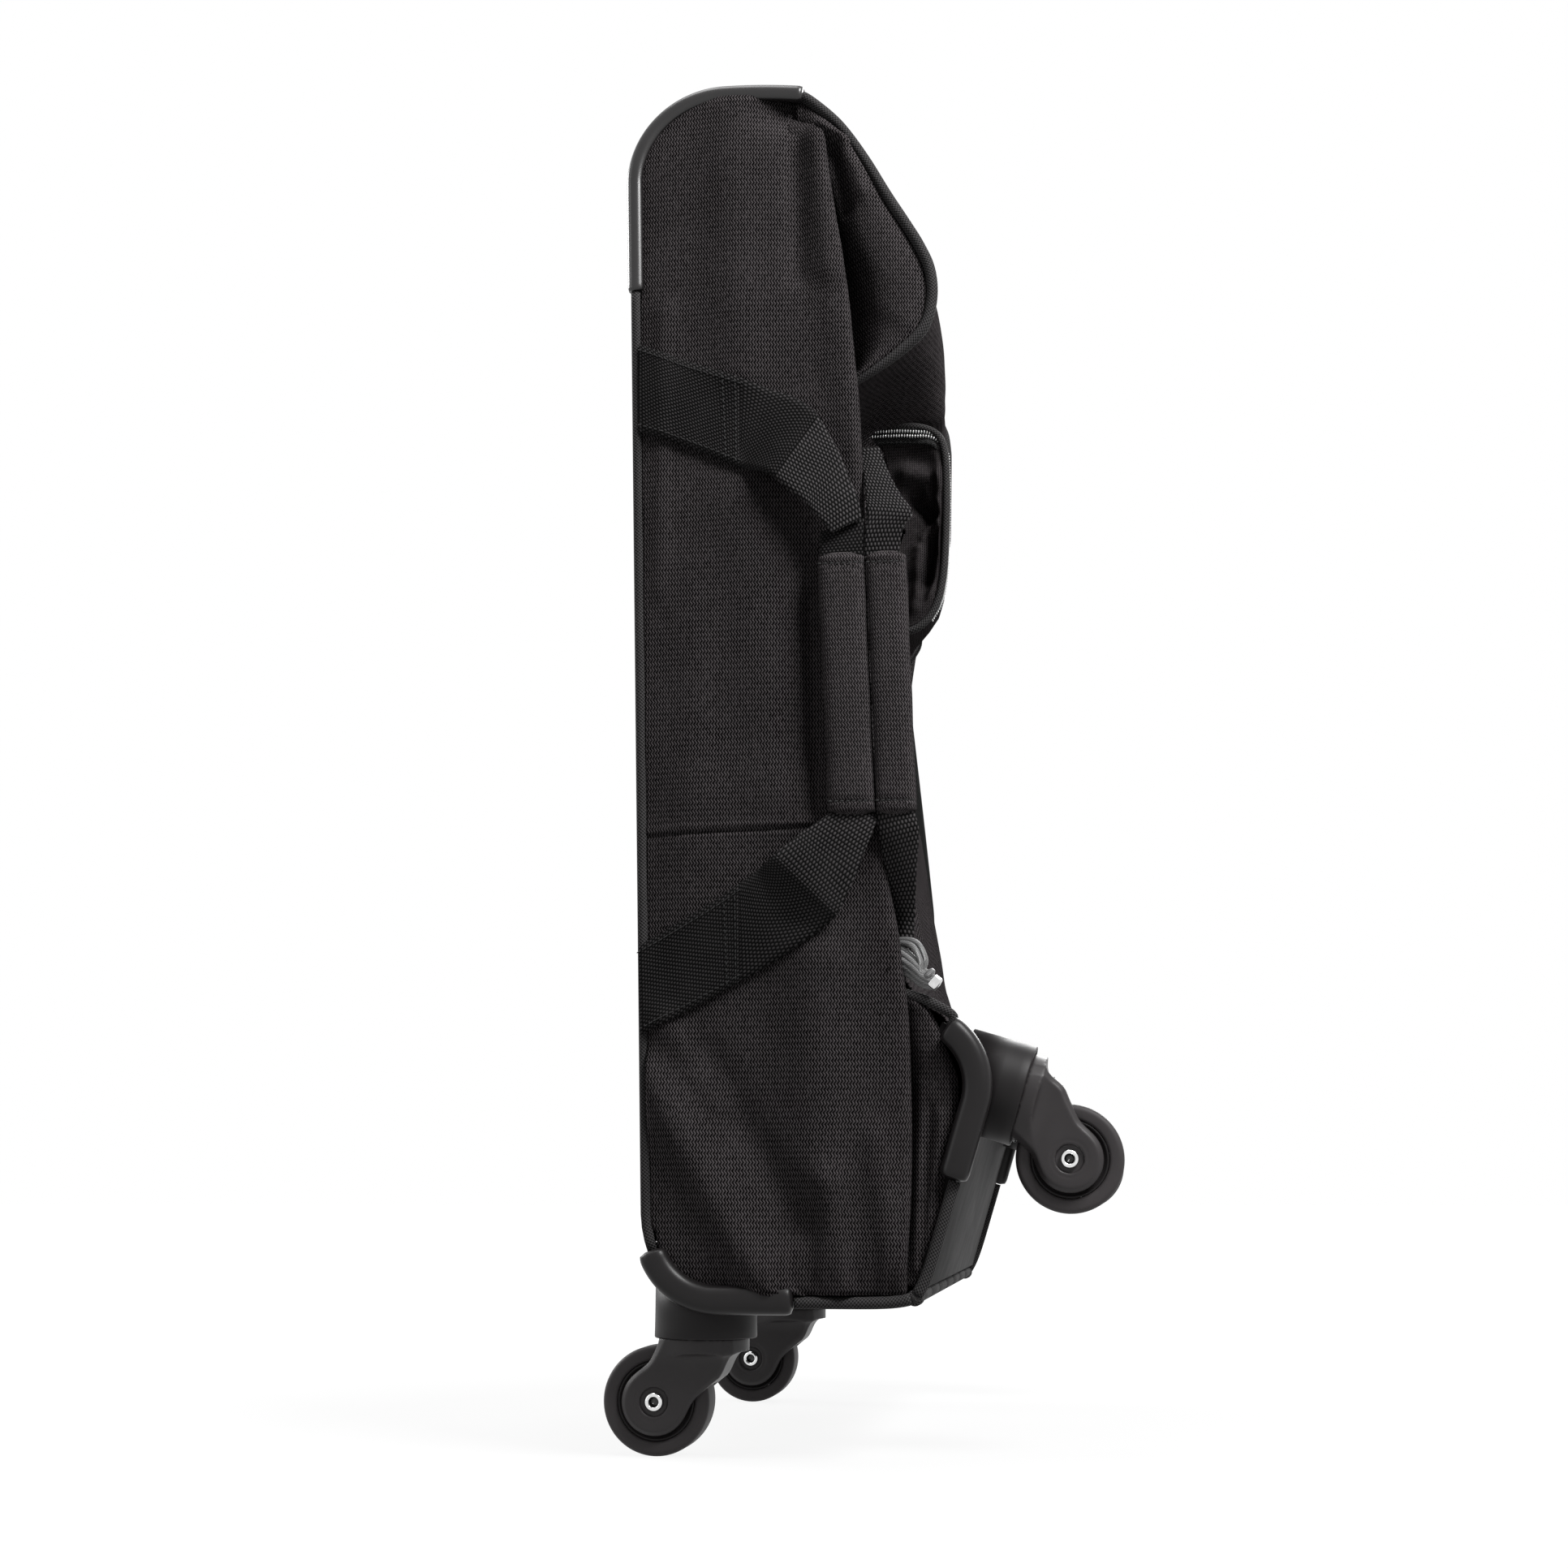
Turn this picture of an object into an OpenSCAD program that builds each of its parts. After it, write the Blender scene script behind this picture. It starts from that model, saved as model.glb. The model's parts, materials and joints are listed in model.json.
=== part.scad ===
// Rolling bowling bag, folded for storage: a soft body with a retractable pull handle on a two-part
// wheeled base. Millimetres, +Z up, +X to the bag's front, origin on the floor under the bag's middle.

/* [Body] */
// Width over the two side panels
bag_w = 370; // [340:1:400]
// Height of the body above the base hinge
body_h = 585; // [565:1:620]
// Distance from the base hinge to the back of the bag
rear_depth = 125; // [123:0.5:130]
// Backward lean of the back, in degrees
back_lean = 1.2; // [0.5:0.1:2]
// Radius of the top rear corner
corner_r = 47.5; // [40:0.5:54]
// Thickness of the padded back and top
panel_t = 5; // [4:0.1:5.4]
// Thickness of the side panels
side_t = 4; // [3:0.1:5]
// Thickness of the front panel and of the gussets
soft_t = 4; // [2.5:0.1:5]
// Room in the side pleat between side panel and gusset
pleat_gap = 6.5; // [6:0.1:9]
// Depth of the front edge at the brow, ahead of the hinge
brow_x = 13.5; // [8:0.5:17]
// Depth of the front panel at its waist, behind the hinge
waist_x = 32; // [28:0.5:36]

/* [Trim] */
// Radius of the piping cord on the body
piping_r = 2.5; // [2:0.1:2.6]
// Radius of the piping cord on the base
base_piping_r = 2.8; // [2.2:0.1:3]
// Radius of the moulded edge guard
edge_guard_r = 3.8; // [3:0.1:4.2]
// Height above the hinge where the edge guard begins
edge_guard_z = 482; // [460:1:500]
// Radius of the moulded corner guards
corner_guard_r = 6.3; // [5:0.1:6.8]
// Distance from the hinge to the near end of a corner guard
corner_guard_x = 55; // [45:1:62]

/* [Base] */
// Fold angle of the front base half, in degrees
fold_angle = 73; // [70:0.5:76]
// Distance from the hinge to the start of the turned-up edge
base_len = 90; // [87:0.5:94]
// Outer radius of the turned-up edge
base_r = 33; // [30:0.5:35]
// Thickness of the base halves
base_t = 6; // [5:0.1:6.6]
// Radius of the hinge pin
hinge_pin_r = 1.5; // [1.2:0.05:1.8]
// Radius of the hinge knuckles
knuckle_r = 3.4; // [2.8:0.1:3.7]
// Number of hinge knuckles
knuckle_n = 7; // [5:2:11]

/* [Casters] */
// Distance from the hinge to a caster's swivel axis
caster_x = 101; // [97:0.5:103]
// Distance from the bag's middle to a caster's swivel axis
caster_y = 148; // [130:1:150]
// Wheel diameter
wheel_d = 50; // [46:0.5:51]
// Wheel width
wheel_w = 21; // [17:0.5:22]
// Distance from the swivel axis to the axle
trail = 21.7; // [20.5:0.1:22.5]
// Drop from the hinge to the axle
axle_drop = 49; // [47.5:0.5:52]
// Radius of the swivel socket
socket_r = 24; // [23:0.1:25]
// Drop from the hinge to the rim of the socket
socket_drop = 20.5; // [20:0.1:21]
// Radius of the fork crown
crown_r = 20.5; // [19.5:0.1:21]
// Thickness of a fork leg
leg_t = 4.2; // [3.5:0.1:5]
// Radius of the fork boss around the axle
boss_r = 15; // [13:0.1:16]
// Radius of the axle
axle_r = 3; // [2.5:0.1:3.4]
// Radius of the axle head
axle_head_r = 4.3; // [4:0.1:5]
// Radius of the swivel pin
swivel_r = 4; // [3.5:0.1:4.4]
// Radius of the hub under the tyre
hub_r = 18; // [17:0.1:19]

/* [Pull handle] */
// Width of a tube of the outer stage
tube_w = 22; // [20:0.5:24]
// Depth of a tube of the outer stage
tube_d = 10; // [9.6:0.1:10.6]
// Wall thickness of the tubes
tube_wall = 1; // [0.8:0.05:1.1]
// Distance from the middle to each tube
tube_y = 50; // [44:0.5:52]
// Length of the pull grip
grip_len = 132; // [128:1:150]
// Depth of the pull grip
grip_d = 20; // [18:0.5:22]
// Height of the pull grip
grip_h = 25; // [23:0.5:26]
// Wall thickness of the handle cup
cup_wall = 2.5; // [2:0.1:3]
// Length of the release button
button_len = 26; // [20:0.5:30]
// Width of the release button
button_w = 9; // [7:0.5:10]

/* [Carry handles] */
// Width of the webbing
web_w = 40; // [36:0.5:42]
// Thickness of the webbing
web_t = 2; // [1.5:0.1:2.4]
// Length of the padded grips
carry_len = 127; // [115:1:132]
// Width of the padded grips
carry_w = 20; // [17:0.2:20]
// Thickness of the padded grips
carry_t = 14; // [11:0.2:15]

/* [Pocket] */
// Width of the front pocket
pocket_w = 230; // [180:1:260]
// Height of the front pocket
pocket_h = 102; // [90:1:106]
// Depth of the pocket ahead of the hinge
pocket_x = 12.5; // [9:0.5:16]
// Thickness of the pocket's cloth
pocket_t = 2.5; // [1.5:0.1:3.5]
// Radius of the pocket zip
zip_r = 1.6; // [1.3:0.1:1.8]

/* [Clearances] */
// Gap between pieces that move past each other
gap = 0.4; // [0.3:0.05:0.5]
// Radial clearance of pins and axles
running = 0.05; // [0.03:0.01:0.08]

/* [Output] */
// Node to draw

/* [Hidden] */
$fn = 48;
half_w = bag_w / 2;
edge_y = half_w - 2;
shell_y = edge_y - edge_guard_r - gap;
gusset_y = half_w - side_t - pleat_gap - soft_t;
front_y = gusset_y - gap;
skin = 1;
pivot_z = wheel_d / 2 + axle_drop;
rear_reach = caster_x + trail + wheel_d / 2;
front_reach = cos(fold_angle) * (caster_x - trail) + sin(fold_angle) * axle_drop + wheel_d / 2;
pivot_x = (rear_reach - front_reach) / 2;
corner_z = body_h - corner_r;
shoulder_x = -50;
tray_gap = knuckle_r + 1.1;
tray_z = base_t / 2;
arc_z = base_r - tray_z;
lip_a = -12;
guard_a = -18;
guard_z = tray_z - 4.8;
seam = 2 * piping_r + 0.3;
guard_out = 1;
guard_seam = 2 * edge_guard_r - guard_out + gap;
tube_x = back_x(0) + skin + panel_t + 1.3 + tube_d / 2;
board_x = tube_x + tube_d / 2 + 1;
cup_z = corner_z - 10;
cup_d = grip_d / 2 + 1 + cup_wall;
cup_w = grip_len / 2 + 1.5 + cup_wall;
tube_z = 46;
stage_1 = [tube_w - 2 * tube_wall - 0.6, tube_d - 2 * tube_wall - 0.6];
stage_2 = [stage_1[0] - 2 * tube_wall - 0.6, stage_1[1] - 2 * tube_wall - 0.6];
grip_z = cup_z + 9;
button_travel = 3;
toe = front_turn([base_len + base_r * cos(lip_a), arc_z + base_r * sin(lip_a)]);
fork_w = wheel_w / 2 + 0.8 + leg_t;
web_y = half_w + 0.3;
carry_y = web_y + web_t + 0.8 + carry_t / 2;
carry_z = 219;
carry_lean = 2;
stitch_x = -80.4;
strap_x = back_x(0) - 15;
strap_top = body_h - 148;
strap_low = 129;
rear_grip_x = -26.2;
front_grip_x = -5.6;
zip_x = -22;
zip_y = gusset_y + soft_t + zip_r + 0.2;
pleat_y = half_w - side_t - pleat_gap / 2;
pocket_z = body_h - 157;
pocket_r = 8;

function back_x(z) = -rear_depth - z * tan(back_lean);
function front_turn(p) = [p[0] * cos(fold_angle) - p[1] * sin(fold_angle),
    p[0] * sin(fold_angle) + p[1] * cos(fold_angle)];
function arc(c, r, a, b, n) = [for (i = [0:n]) c + r * [cos(a + (b - a) * i / n), sin(a + (b - a) * i / n)]];
function rev(p) = [for (i = [len(p) - 1:-1:0]) p[i]];
function blend(a, b, c, d, t) = 0.5 * (2 * b + (c - a) * t + (2 * a - 5 * b + 4 * c - d) * t * t
    + (3 * b - a - 3 * c + d) * t * t * t);
function curve(p, n) = concat([for (i = [0:len(p) - 2]) for (k = [0:n - 1])
    blend(p[max(i - 1, 0)], p[i], p[i + 1], p[min(i + 2, len(p) - 1)], k / n)], [p[len(p) - 1]]);
function along(p, i) = let (d = p[min(i + 1, len(p) - 1)] - p[max(i - 1, 0)]) d / norm(d);
function shift(p, d) = [for (i = [0:len(p) - 1]) let (t = along(p, i)) p[i] + d * [-t[1], t[0]]];
function part(p, a, b) = [for (i = [a:b]) p[i]];
function rounded(w, d, r) = concat(arc([w / 2 - r, d / 2 - r], r, 0, 90, 6), arc([r - w / 2, d / 2 - r], r, 90, 180, 6),
    arc([r - w / 2, r - d / 2], r, 180, 270, 6), arc([w / 2 - r, r - d / 2], r, 270, 360, 6));
function corner_x() = back_x(corner_z) + corner_r;
function top_arc(d) = arc([corner_x(), corner_z], corner_r - d, 180, 90, 14);
function guard_path(r) = concat([[corner_guard_x, guard_z]],
    arc([base_len, arc_z], r, -90, guard_a, 10));
function tray_under(n) = arc([base_len, arc_z], base_r, -90, lip_a, n);

front_path = curve([[shoulder_x + gap, body_h - 2.5], [-37.5, body_h - 17], [-8, body_h - 57],
    [brow_x - 7.5, body_h - 86], [brow_x, body_h - 112], [brow_x - 1, body_h - 128],
    [brow_x - 10, body_h - 147], [15 - waist_x, body_h - 168], [3 - waist_x, body_h - 194],
    [-waist_x, body_h - 240], [2 - waist_x, toe[1] + 153], [10 - waist_x, toe[1] + 112],
    [27 - waist_x, toe[1] + 64], toe + [-1, 3]], 4);
crest = curve([[-39, body_h - 23], [-32.4, body_h - 63], [-22, body_h - 159], [-20.4, body_h - 199],
    [-15.4, 219], [-4.4, 156], [-0.6, 76], [-1.5, 0.6]], 5);

// A flat outline in X and Z, given a thickness along Y.
module slab(p, y0, y1) {
    translate([0, y1, 0]) rotate([90, 0, 0]) linear_extrude(y1 - y0) polygon(p);
}

// A round cord that follows a path in X and Z.
module cord(p, y, r, sides) {
    last = len(p) - 1;
    points = [for (i = [0:last]) let (t = along(p, i)) for (k = [0:sides - 1])
        let (a = 360 * k / sides) [p[i][0] - r * cos(a) * t[1], y + r * sin(a), p[i][1] + r * cos(a) * t[0]]];
    walls = [for (i = [0:last - 1]) for (k = [0:sides - 1]) let (m = (k + 1) % sides)
        for (f = [0, 1]) f == 0 ? [i * sides + k, i * sides + m, (i + 1) * sides + m]
            : [i * sides + k, (i + 1) * sides + m, (i + 1) * sides + k]];
    caps = [[for (k = [sides - 1:-1:0]) k], [for (k = [0:sides - 1]) last * sides + k]];
    polyhedron(points, concat(walls, caps));
}

// A straight strip of webbing between two points in X and Z.
module strip(a, b, y0) {
    t = (b - a) / norm(b - a);
    n = web_w / 2 * [-t[1], t[0]];
    slab([a + n, b + n, b - n, a - n], y0 - web_t, y0);
}

module both_sides() {
    children();
    mirror([0, 1, 0]) children();
}

module bag() {
    translate([pivot_x, 0, pivot_z]) children();
}

// The rear base half is drawn outward from the hinge and mirrored, the front one is folded up.
module rear_half() {
    bag() mirror([1, 0, 0]) children();
}

module front_half() {
    bag() rotate([0, -fold_angle, 0]) children();
}

module at_rear(side) {
    bag() translate([-caster_x, side * caster_y, 0]) children();
}

module at_front(side) {
    front_half() translate([caster_x, side * caster_y, 0]) children();
}

// Body

module back_panel() {
    color([0.16, 0.16, 0.17]) bag()
        slab([[back_x(25) + skin, 25], [back_x(corner_z) + skin, corner_z - gap],
            [back_x(corner_z) + skin + panel_t, corner_z - gap], [back_x(25) + skin + panel_t, 25]],
            -shell_y, shell_y);
}

module top_panel() {
    color([0.16, 0.16, 0.17]) bag() difference() {
        slab(concat(top_arc(skin), [[shoulder_x, body_h - skin], [shoulder_x, body_h - skin - panel_t]],
            rev(top_arc(skin + panel_t))), -shell_y, shell_y);
        translate([tube_x - cup_d - gap, -cup_w - gap, corner_z])
            cube([2 * (cup_d + gap), 2 * (cup_w + gap), corner_r + 10]);
    }
}

module front_panel() {
    color([0.2, 0.2, 0.21]) bag() difference() {
        slab(concat(front_path, rev(shift(front_path, -soft_t))), -front_y, front_y);
        translate([shoulder_x + gap - 20, -half_w, body_h - 40]) cube([20, bag_w, 60]);
    }
}

module side_panel() {
    rear_edge = [back_x(30) + seam, 30];
    low = guard_z + corner_guard_r + gap;
    outline = concat([rear_edge, [back_x(edge_guard_z) + seam, edge_guard_z - gap],
        [back_x(edge_guard_z) + guard_seam, edge_guard_z - gap]], top_arc(guard_seam),
        [[shoulder_x - 4, body_h - guard_seam]], crest,
        [[gap - corner_guard_x, 0.6], [gap - corner_guard_x, low]],
        [for (p = arc([base_len, arc_z], arc_z - low, -90, -14, 8)) [-p[0], p[1]]]);
    slab(outline, -half_w, side_t - half_w);
}

module side_panels() {
    color([0.18, 0.18, 0.19]) bag() both_sides() side_panel();
}

module gusset() {
    rise = base_t / 2 + gap;
    base_edge = [for (p = concat(rev(arc([base_len, arc_z], arc_z - rise, -90, lip_a, 8)), [[12, rise]]))
        front_turn(p)];
    outline = concat(front_path, base_edge, [[-9, 12], [-30, 14], [-60, 40], [-60, body_h - 40], [-52, body_h - 14],
        [shoulder_x + gap, body_h - 9]]);
    slab(outline, -gusset_y - soft_t, -gusset_y);
}

module gussets() {
    color([0.2, 0.2, 0.22]) bag() both_sides() gusset();
}

module back_board() {
    color([0.3, 0.3, 0.3]) bag() translate([board_x, -0.42 * bag_w, 30])
        cube([3, 0.84 * bag_w, corner_z - 60]);
}

// Piping and guards

module rear_piping() {
    path = [for (i = [0:6]) let (z = 31 + (edge_guard_z - 31.3) * i / 6) [back_x(z) + piping_r + 0.1, z]];
    color([0.12, 0.12, 0.12]) bag() both_sides() cord(path, -edge_y, piping_r, 12);
}

module front_piping() {
    path = shift(part(front_path, 1, 29), piping_r + gap);
    color([0.12, 0.12, 0.12]) bag() both_sides() cord(path, -gusset_y - soft_t / 2, piping_r, 12);
}

module base_piping() {
    path = [[10, tray_z - 5.9], [30, tray_z - 5.9], [corner_guard_x - gap, tray_z - 5.9]];
    both_sides() cord(path, -edge_y, base_piping_r, 12);
}

module base_piping_rear() {
    color([0.12, 0.12, 0.12]) rear_half() base_piping();
}

module base_piping_front() {
    color([0.12, 0.12, 0.12]) front_half() base_piping();
}

module edge_guards() {
    inset = edge_guard_r - guard_out;
    path = concat([[back_x(edge_guard_z) + inset, edge_guard_z]], top_arc(inset), [[shoulder_x, body_h - inset]]);
    color([0.07, 0.07, 0.07]) bag() both_sides() cord(path, -edge_y, edge_guard_r, 16);
}

module corner_guards() {
    both_sides() difference() {
        cord(guard_path(arc_z - guard_z), -edge_y, corner_guard_r, 16);
        translate([0, -shell_y - gap, -40]) cube([300, 40, 200]);
    }
}

module corner_guards_rear() {
    color([0.07, 0.07, 0.07]) rear_half() corner_guards();
}

module corner_guards_front() {
    color([0.07, 0.07, 0.07]) front_half() corner_guards();
}

// Folding base

module tray(first) {
    pitch = 2 * (shell_y - 6) / knuckle_n;
    difference() {
        union() {
            slab(concat([[tray_gap, -tray_z]], tray_under(12),
                rev(arc([base_len, arc_z], base_r - base_t, -90, lip_a, 12)), [[tray_gap, tray_z]]),
                -shell_y, shell_y);
            for (i = [first:2:knuckle_n - 1]) translate([0, i * pitch - shell_y + 6 + gap / 2, 0]) {
                rotate([-90, 0, 0]) cylinder(r = knuckle_r, h = pitch - gap);
                translate([0, 0, -1.2]) cube([tray_gap + 1, pitch - gap, 2.4]);
            }
        }
        rotate([90, 0, 0]) cylinder(r = hinge_pin_r + running, h = bag_w, center = true);
        for (side = [-1, 1]) translate([caster_x, side * caster_y, 0])
            cylinder(r = swivel_r + running, h = 60, center = true);
    }
}

module rear_base() {
    color([0.1, 0.1, 0.1]) rear_half() tray(0);
}

module front_base() {
    color([0.1, 0.1, 0.1]) front_half() tray(1);
}

module base_hinge_pin() {
    color([0.6, 0.6, 0.62]) bag() rotate([90, 0, 0]) {
        cylinder(r = hinge_pin_r, h = 2 * (shell_y - 5), center = true);
        for (side = [-1, 1]) translate([0, 0, side * (shell_y - 4.5)])
            cylinder(r = hinge_pin_r + 1, h = 1.5, center = true);
    }
}

// Casters

module socket() {
    difference() {
        translate([caster_x, 0, -socket_drop]) cylinder(r = socket_r, h = socket_drop + 10, $fn = 64);
        slab(concat([[0, -tray_z]], tray_under(12), [[base_len + base_r + 20, 60], [0, 60]]), -60, 60);
        translate([caster_x, 0, -socket_drop - 1]) cylinder(r = crown_r + 1.3, h = 4, $fn = 64);
        translate([caster_x, 0, 0]) cylinder(r = swivel_r + running, h = 60, center = true);
    }
}

module sockets() {
    for (side = [-1, 1]) translate([0, side * caster_y, 0]) socket();
}

module rear_sockets() {
    color([0.06, 0.06, 0.06]) rear_half() sockets();
}

module front_sockets() {
    color([0.06, 0.06, 0.06]) front_half() sockets();
}

// The swivel pin hangs from the base and its lower head carries the fork.
module swivel_pin() {
    rise = arc_z - sqrt(pow(base_r - base_t, 2) - pow(caster_x - base_len - 7, 2));
    bottom = -socket_drop - 3.5;
    translate([0, 0, bottom]) cylinder(r = swivel_r, h = rise + 4 - bottom);
    translate([0, 0, bottom - 2.5]) cylinder(r = swivel_r + 2.5, h = 2.5);
}

module rear_swivel_pins() {
    color([0.6, 0.6, 0.62]) for (side = [-1, 1]) at_rear(side) swivel_pin();
}

module front_swivel_pins() {
    color([0.6, 0.6, 0.62]) for (side = [-1, 1]) at_front(side) swivel_pin();
}

module fork() {
    leg = concat([[-14, -socket_drop - 0.6], [-19, -socket_drop - 11]], arc([-trail, -axle_drop], boss_r, 150, 340, 20),
        [[12, -socket_drop - 12], [14, -socket_drop - 0.6]]);
    difference() {
        union() {
            translate([0, 0, -socket_drop + gap]) cylinder(r = crown_r + 1.3 - gap, h = 3 - 2 * gap, $fn = 64);
            translate([0, 0, -socket_drop - 13]) cylinder(r = crown_r, h = 13 + 2 * gap, $fn = 64);
            slab(leg, -fork_w, fork_w);
        }
        translate([-trail, 0, -axle_drop]) rotate([90, 0, 0]) {
            cylinder(r = wheel_d / 2 + 1.5, h = wheel_w + 1.6, center = true, $fn = 64);
            cylinder(r = axle_r + running, h = 60, center = true);
            for (side = [-1, 1]) translate([0, 0, side * fork_w])
                cylinder(r = axle_head_r + 3, h = 2.4, center = true);
        }
        cylinder(r = swivel_r + running, h = 80, center = true);
        translate([0, 0, -socket_drop - 43.3]) cylinder(r = swivel_r + 2.9, h = 40 - gap / 2);
    }
}

module axle() {
    translate([-trail, 0, -axle_drop]) rotate([90, 0, 0]) difference() {
        union() {
            cylinder(r = axle_r, h = 2 * (fork_w - 1), center = true);
            for (side = [-1, 1]) translate([0, 0, side * (fork_w - 0.3)])
                cylinder(r = axle_head_r, h = 1.6, center = true);
        }
        for (side = [-1, 1]) translate([0, 0, side * fork_w]) cylinder(r = axle_r - 1.1, h = 5, center = true);
    }
}

module hub() {
    translate([-trail, 0, -axle_drop]) rotate([90, 0, 0]) difference() {
        cylinder(r = hub_r - running, h = wheel_w - 2, center = true, $fn = 64);
        cylinder(r = axle_r + running, h = 60, center = true);
        for (side = [-1, 1]) translate([0, 0, side * wheel_w / 2]) difference() {
            cylinder(r = hub_r - 3, h = 8, center = true);
            cylinder(r = axle_r + 4, h = 9, center = true);
        }
    }
}

module tyre() {
    r = wheel_d / 2;
    w = wheel_w / 2;
    translate([-trail, 0, -axle_drop]) rotate([90, 0, 0]) rotate_extrude($fn = 64)
        polygon(concat([[hub_r, -w], [r - 4, -w]], arc([r - 4, 4 - w], 4, -60, 0, 4),
            arc([r - 4, w - 4], 4, 0, 60, 4), [[r - 4, w], [hub_r, w]]));
}

module rear_near_fork() {
    color([0.06, 0.06, 0.06]) at_rear(-1) fork();
}

module rear_near_axle() {
    color([0.75, 0.75, 0.77]) at_rear(-1) axle();
}

module rear_near_hub() {
    color([0.1, 0.1, 0.1]) at_rear(-1) hub();
}

module rear_near_tyre() {
    color([0.04, 0.04, 0.04]) at_rear(-1) tyre();
}

module rear_far_fork() {
    color([0.06, 0.06, 0.06]) at_rear(1) fork();
}

module rear_far_axle() {
    color([0.75, 0.75, 0.77]) at_rear(1) axle();
}

module rear_far_hub() {
    color([0.1, 0.1, 0.1]) at_rear(1) hub();
}

module rear_far_tyre() {
    color([0.04, 0.04, 0.04]) at_rear(1) tyre();
}

module front_near_fork() {
    color([0.06, 0.06, 0.06]) at_front(-1) fork();
}

module front_near_axle() {
    color([0.75, 0.75, 0.77]) at_front(-1) axle();
}

module front_near_hub() {
    color([0.1, 0.1, 0.1]) at_front(-1) hub();
}

module front_near_tyre() {
    color([0.04, 0.04, 0.04]) at_front(-1) tyre();
}

module front_far_fork() {
    color([0.06, 0.06, 0.06]) at_front(1) fork();
}

module front_far_axle() {
    color([0.75, 0.75, 0.77]) at_front(1) axle();
}

module front_far_hub() {
    color([0.1, 0.1, 0.1]) at_front(1) hub();
}

module front_far_tyre() {
    color([0.04, 0.04, 0.04]) at_front(1) tyre();
}

// Front pocket and zips

module pocket_block(t) {
    low = pocket_z - pocket_h + t;
    x = pocket_x - t;
    face = concat([[-60, pocket_z - t]], rev(arc([x - pocket_r, pocket_z - t - pocket_r], pocket_r, 0, 90, 6)),
        [[x - 1, low + 34]], rev(arc([x - 15, low + 14], 14, -90, 0, 6)), [[-60, low]]);
    slab(face, t - pocket_w / 2, pocket_w / 2 - t);
}

module pocket() {
    behind = concat(shift(front_path, gap), [[-90, 60], [-90, body_h]]);
    color([0.17, 0.17, 0.18]) bag() difference() {
        pocket_block(0);
        pocket_block(pocket_t);
        slab(behind, -pocket_w, pocket_w);
    }
}

module pocket_zip() {
    y = pocket_w / 2 + zip_r + 0.2;
    inset = zip_r + 2.4;
    top = [pocket_x - pocket_r, pocket_z - pocket_r];
    path = concat([[pocket_x - 19, pocket_z - inset]], rev(arc(top, pocket_r - inset, 0, 90, 6)));
    color([0.5, 0.5, 0.52]) bag() both_sides() {
        cord(path, -y, zip_r, 10);
        translate([pocket_x - inset, -y, pocket_z - pocket_h + 38])
            cylinder(r = zip_r, h = pocket_h - pocket_r - 38 - gap);
    }
}

module pocket_slider() {
    y = pocket_w / 2 + zip_r + 0.2;
    color([0.45, 0.45, 0.47]) bag() translate([pocket_x - zip_r - 2.4, y, pocket_z - pocket_h + 40])
        difference() {
            union() {
                translate([-3.6, -zip_r + 0.1, 0]) cube([7.2, 2 * zip_r + 1.6, 10]);
                translate([-2, zip_r + 1, -12]) cube([4, 1.6, 18]);
            }
            cylinder(r = zip_r + running, h = 60, center = true);
        }
}

module main_zip() {
    rise = [[zip_x, 200.1], [zip_x, 206], [zip_x - 2, 230], [-42, body_h - 185], [-52, body_h - 60]];
    color([0.3, 0.3, 0.32]) bag() both_sides() {
        translate([zip_x, -zip_y, 25]) cylinder(r = zip_r, h = 175);
        cord(curve(rise, 5), -zip_y, zip_r, 10);
    }
}

module main_slider() {
    color([0.45, 0.45, 0.47]) bag() translate([zip_x, -zip_y, 152]) difference() {
        translate([-4, -zip_r - 1.2, 0]) cube([8, 2 * zip_r + 1.1, 12]);
        cylinder(r = zip_r + running, h = 60, center = true);
    }
}

module zip_pull() {
    a = [zip_x + 6.4, 157];
    b = [14, 138];
    t = (b - a) / norm(b - a);
    n = [-t[1], t[0]];
    color([0.5, 0.5, 0.52]) bag() slab([a + 3 * n, b + 4.5 * n, b + 3 * t, b - 4.5 * n, a - 3 * n],
        -pleat_y - 1.6, 1.2 - pleat_y);
}

// Carry handles on the near side

module strap_anchors() {
    color([0.05, 0.05, 0.05]) bag() intersection() {
        union() {
            strip([strap_x, strap_top], [strap_x + 80, strap_top - 27], -web_y);
            strip([strap_x, strap_low], [strap_x + 80, strap_low + 50], -web_y);
        }
        slab([[back_x(0) + seam, 0], [stitch_x - gap, 0], [stitch_x - gap, body_h], [back_x(body_h) + seam, body_h]],
            -half_w - 20, -half_w + 20);
    }
}

module inner_anchors() {
    color([0.05, 0.05, 0.05]) bag() {
        top = strap_top - 25;
        low = strap_low + 41;
        slab([[-33, top - 36], [-33, top], [-19.2, top - 6], [-18.2, top - 34]], -pleat_y, web_t - pleat_y);
        slab([[-14, low], [-14, low + 30], [-4.4, low + 26], [-4.4, low + 6]], -pleat_y, web_t - pleat_y);
    }
}

module grip_frame(x) {
    bag() translate([x, -carry_y, carry_z]) rotate([0, -carry_lean, 0]) children();
}

// A length of webbing between the sewn end, as a strip across the strap, and the end of a grip.
module free_web(a, b, y, grip_x, up) {
    hull() {
        bag() slab([a, b, b + [1, 0], a + [1, 0]], y, y + web_t);
        grip_frame(grip_x) translate([-0.35 * carry_w, -web_t, up ? carry_len + 0.3 : -1.3])
            cube([0.7 * carry_w, 2 * web_t, 1]);
    }
}

module carry_grip(x) {
    grip_frame(x) linear_extrude(carry_len) polygon(rounded(carry_w, carry_t, 5.2));
}

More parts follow.
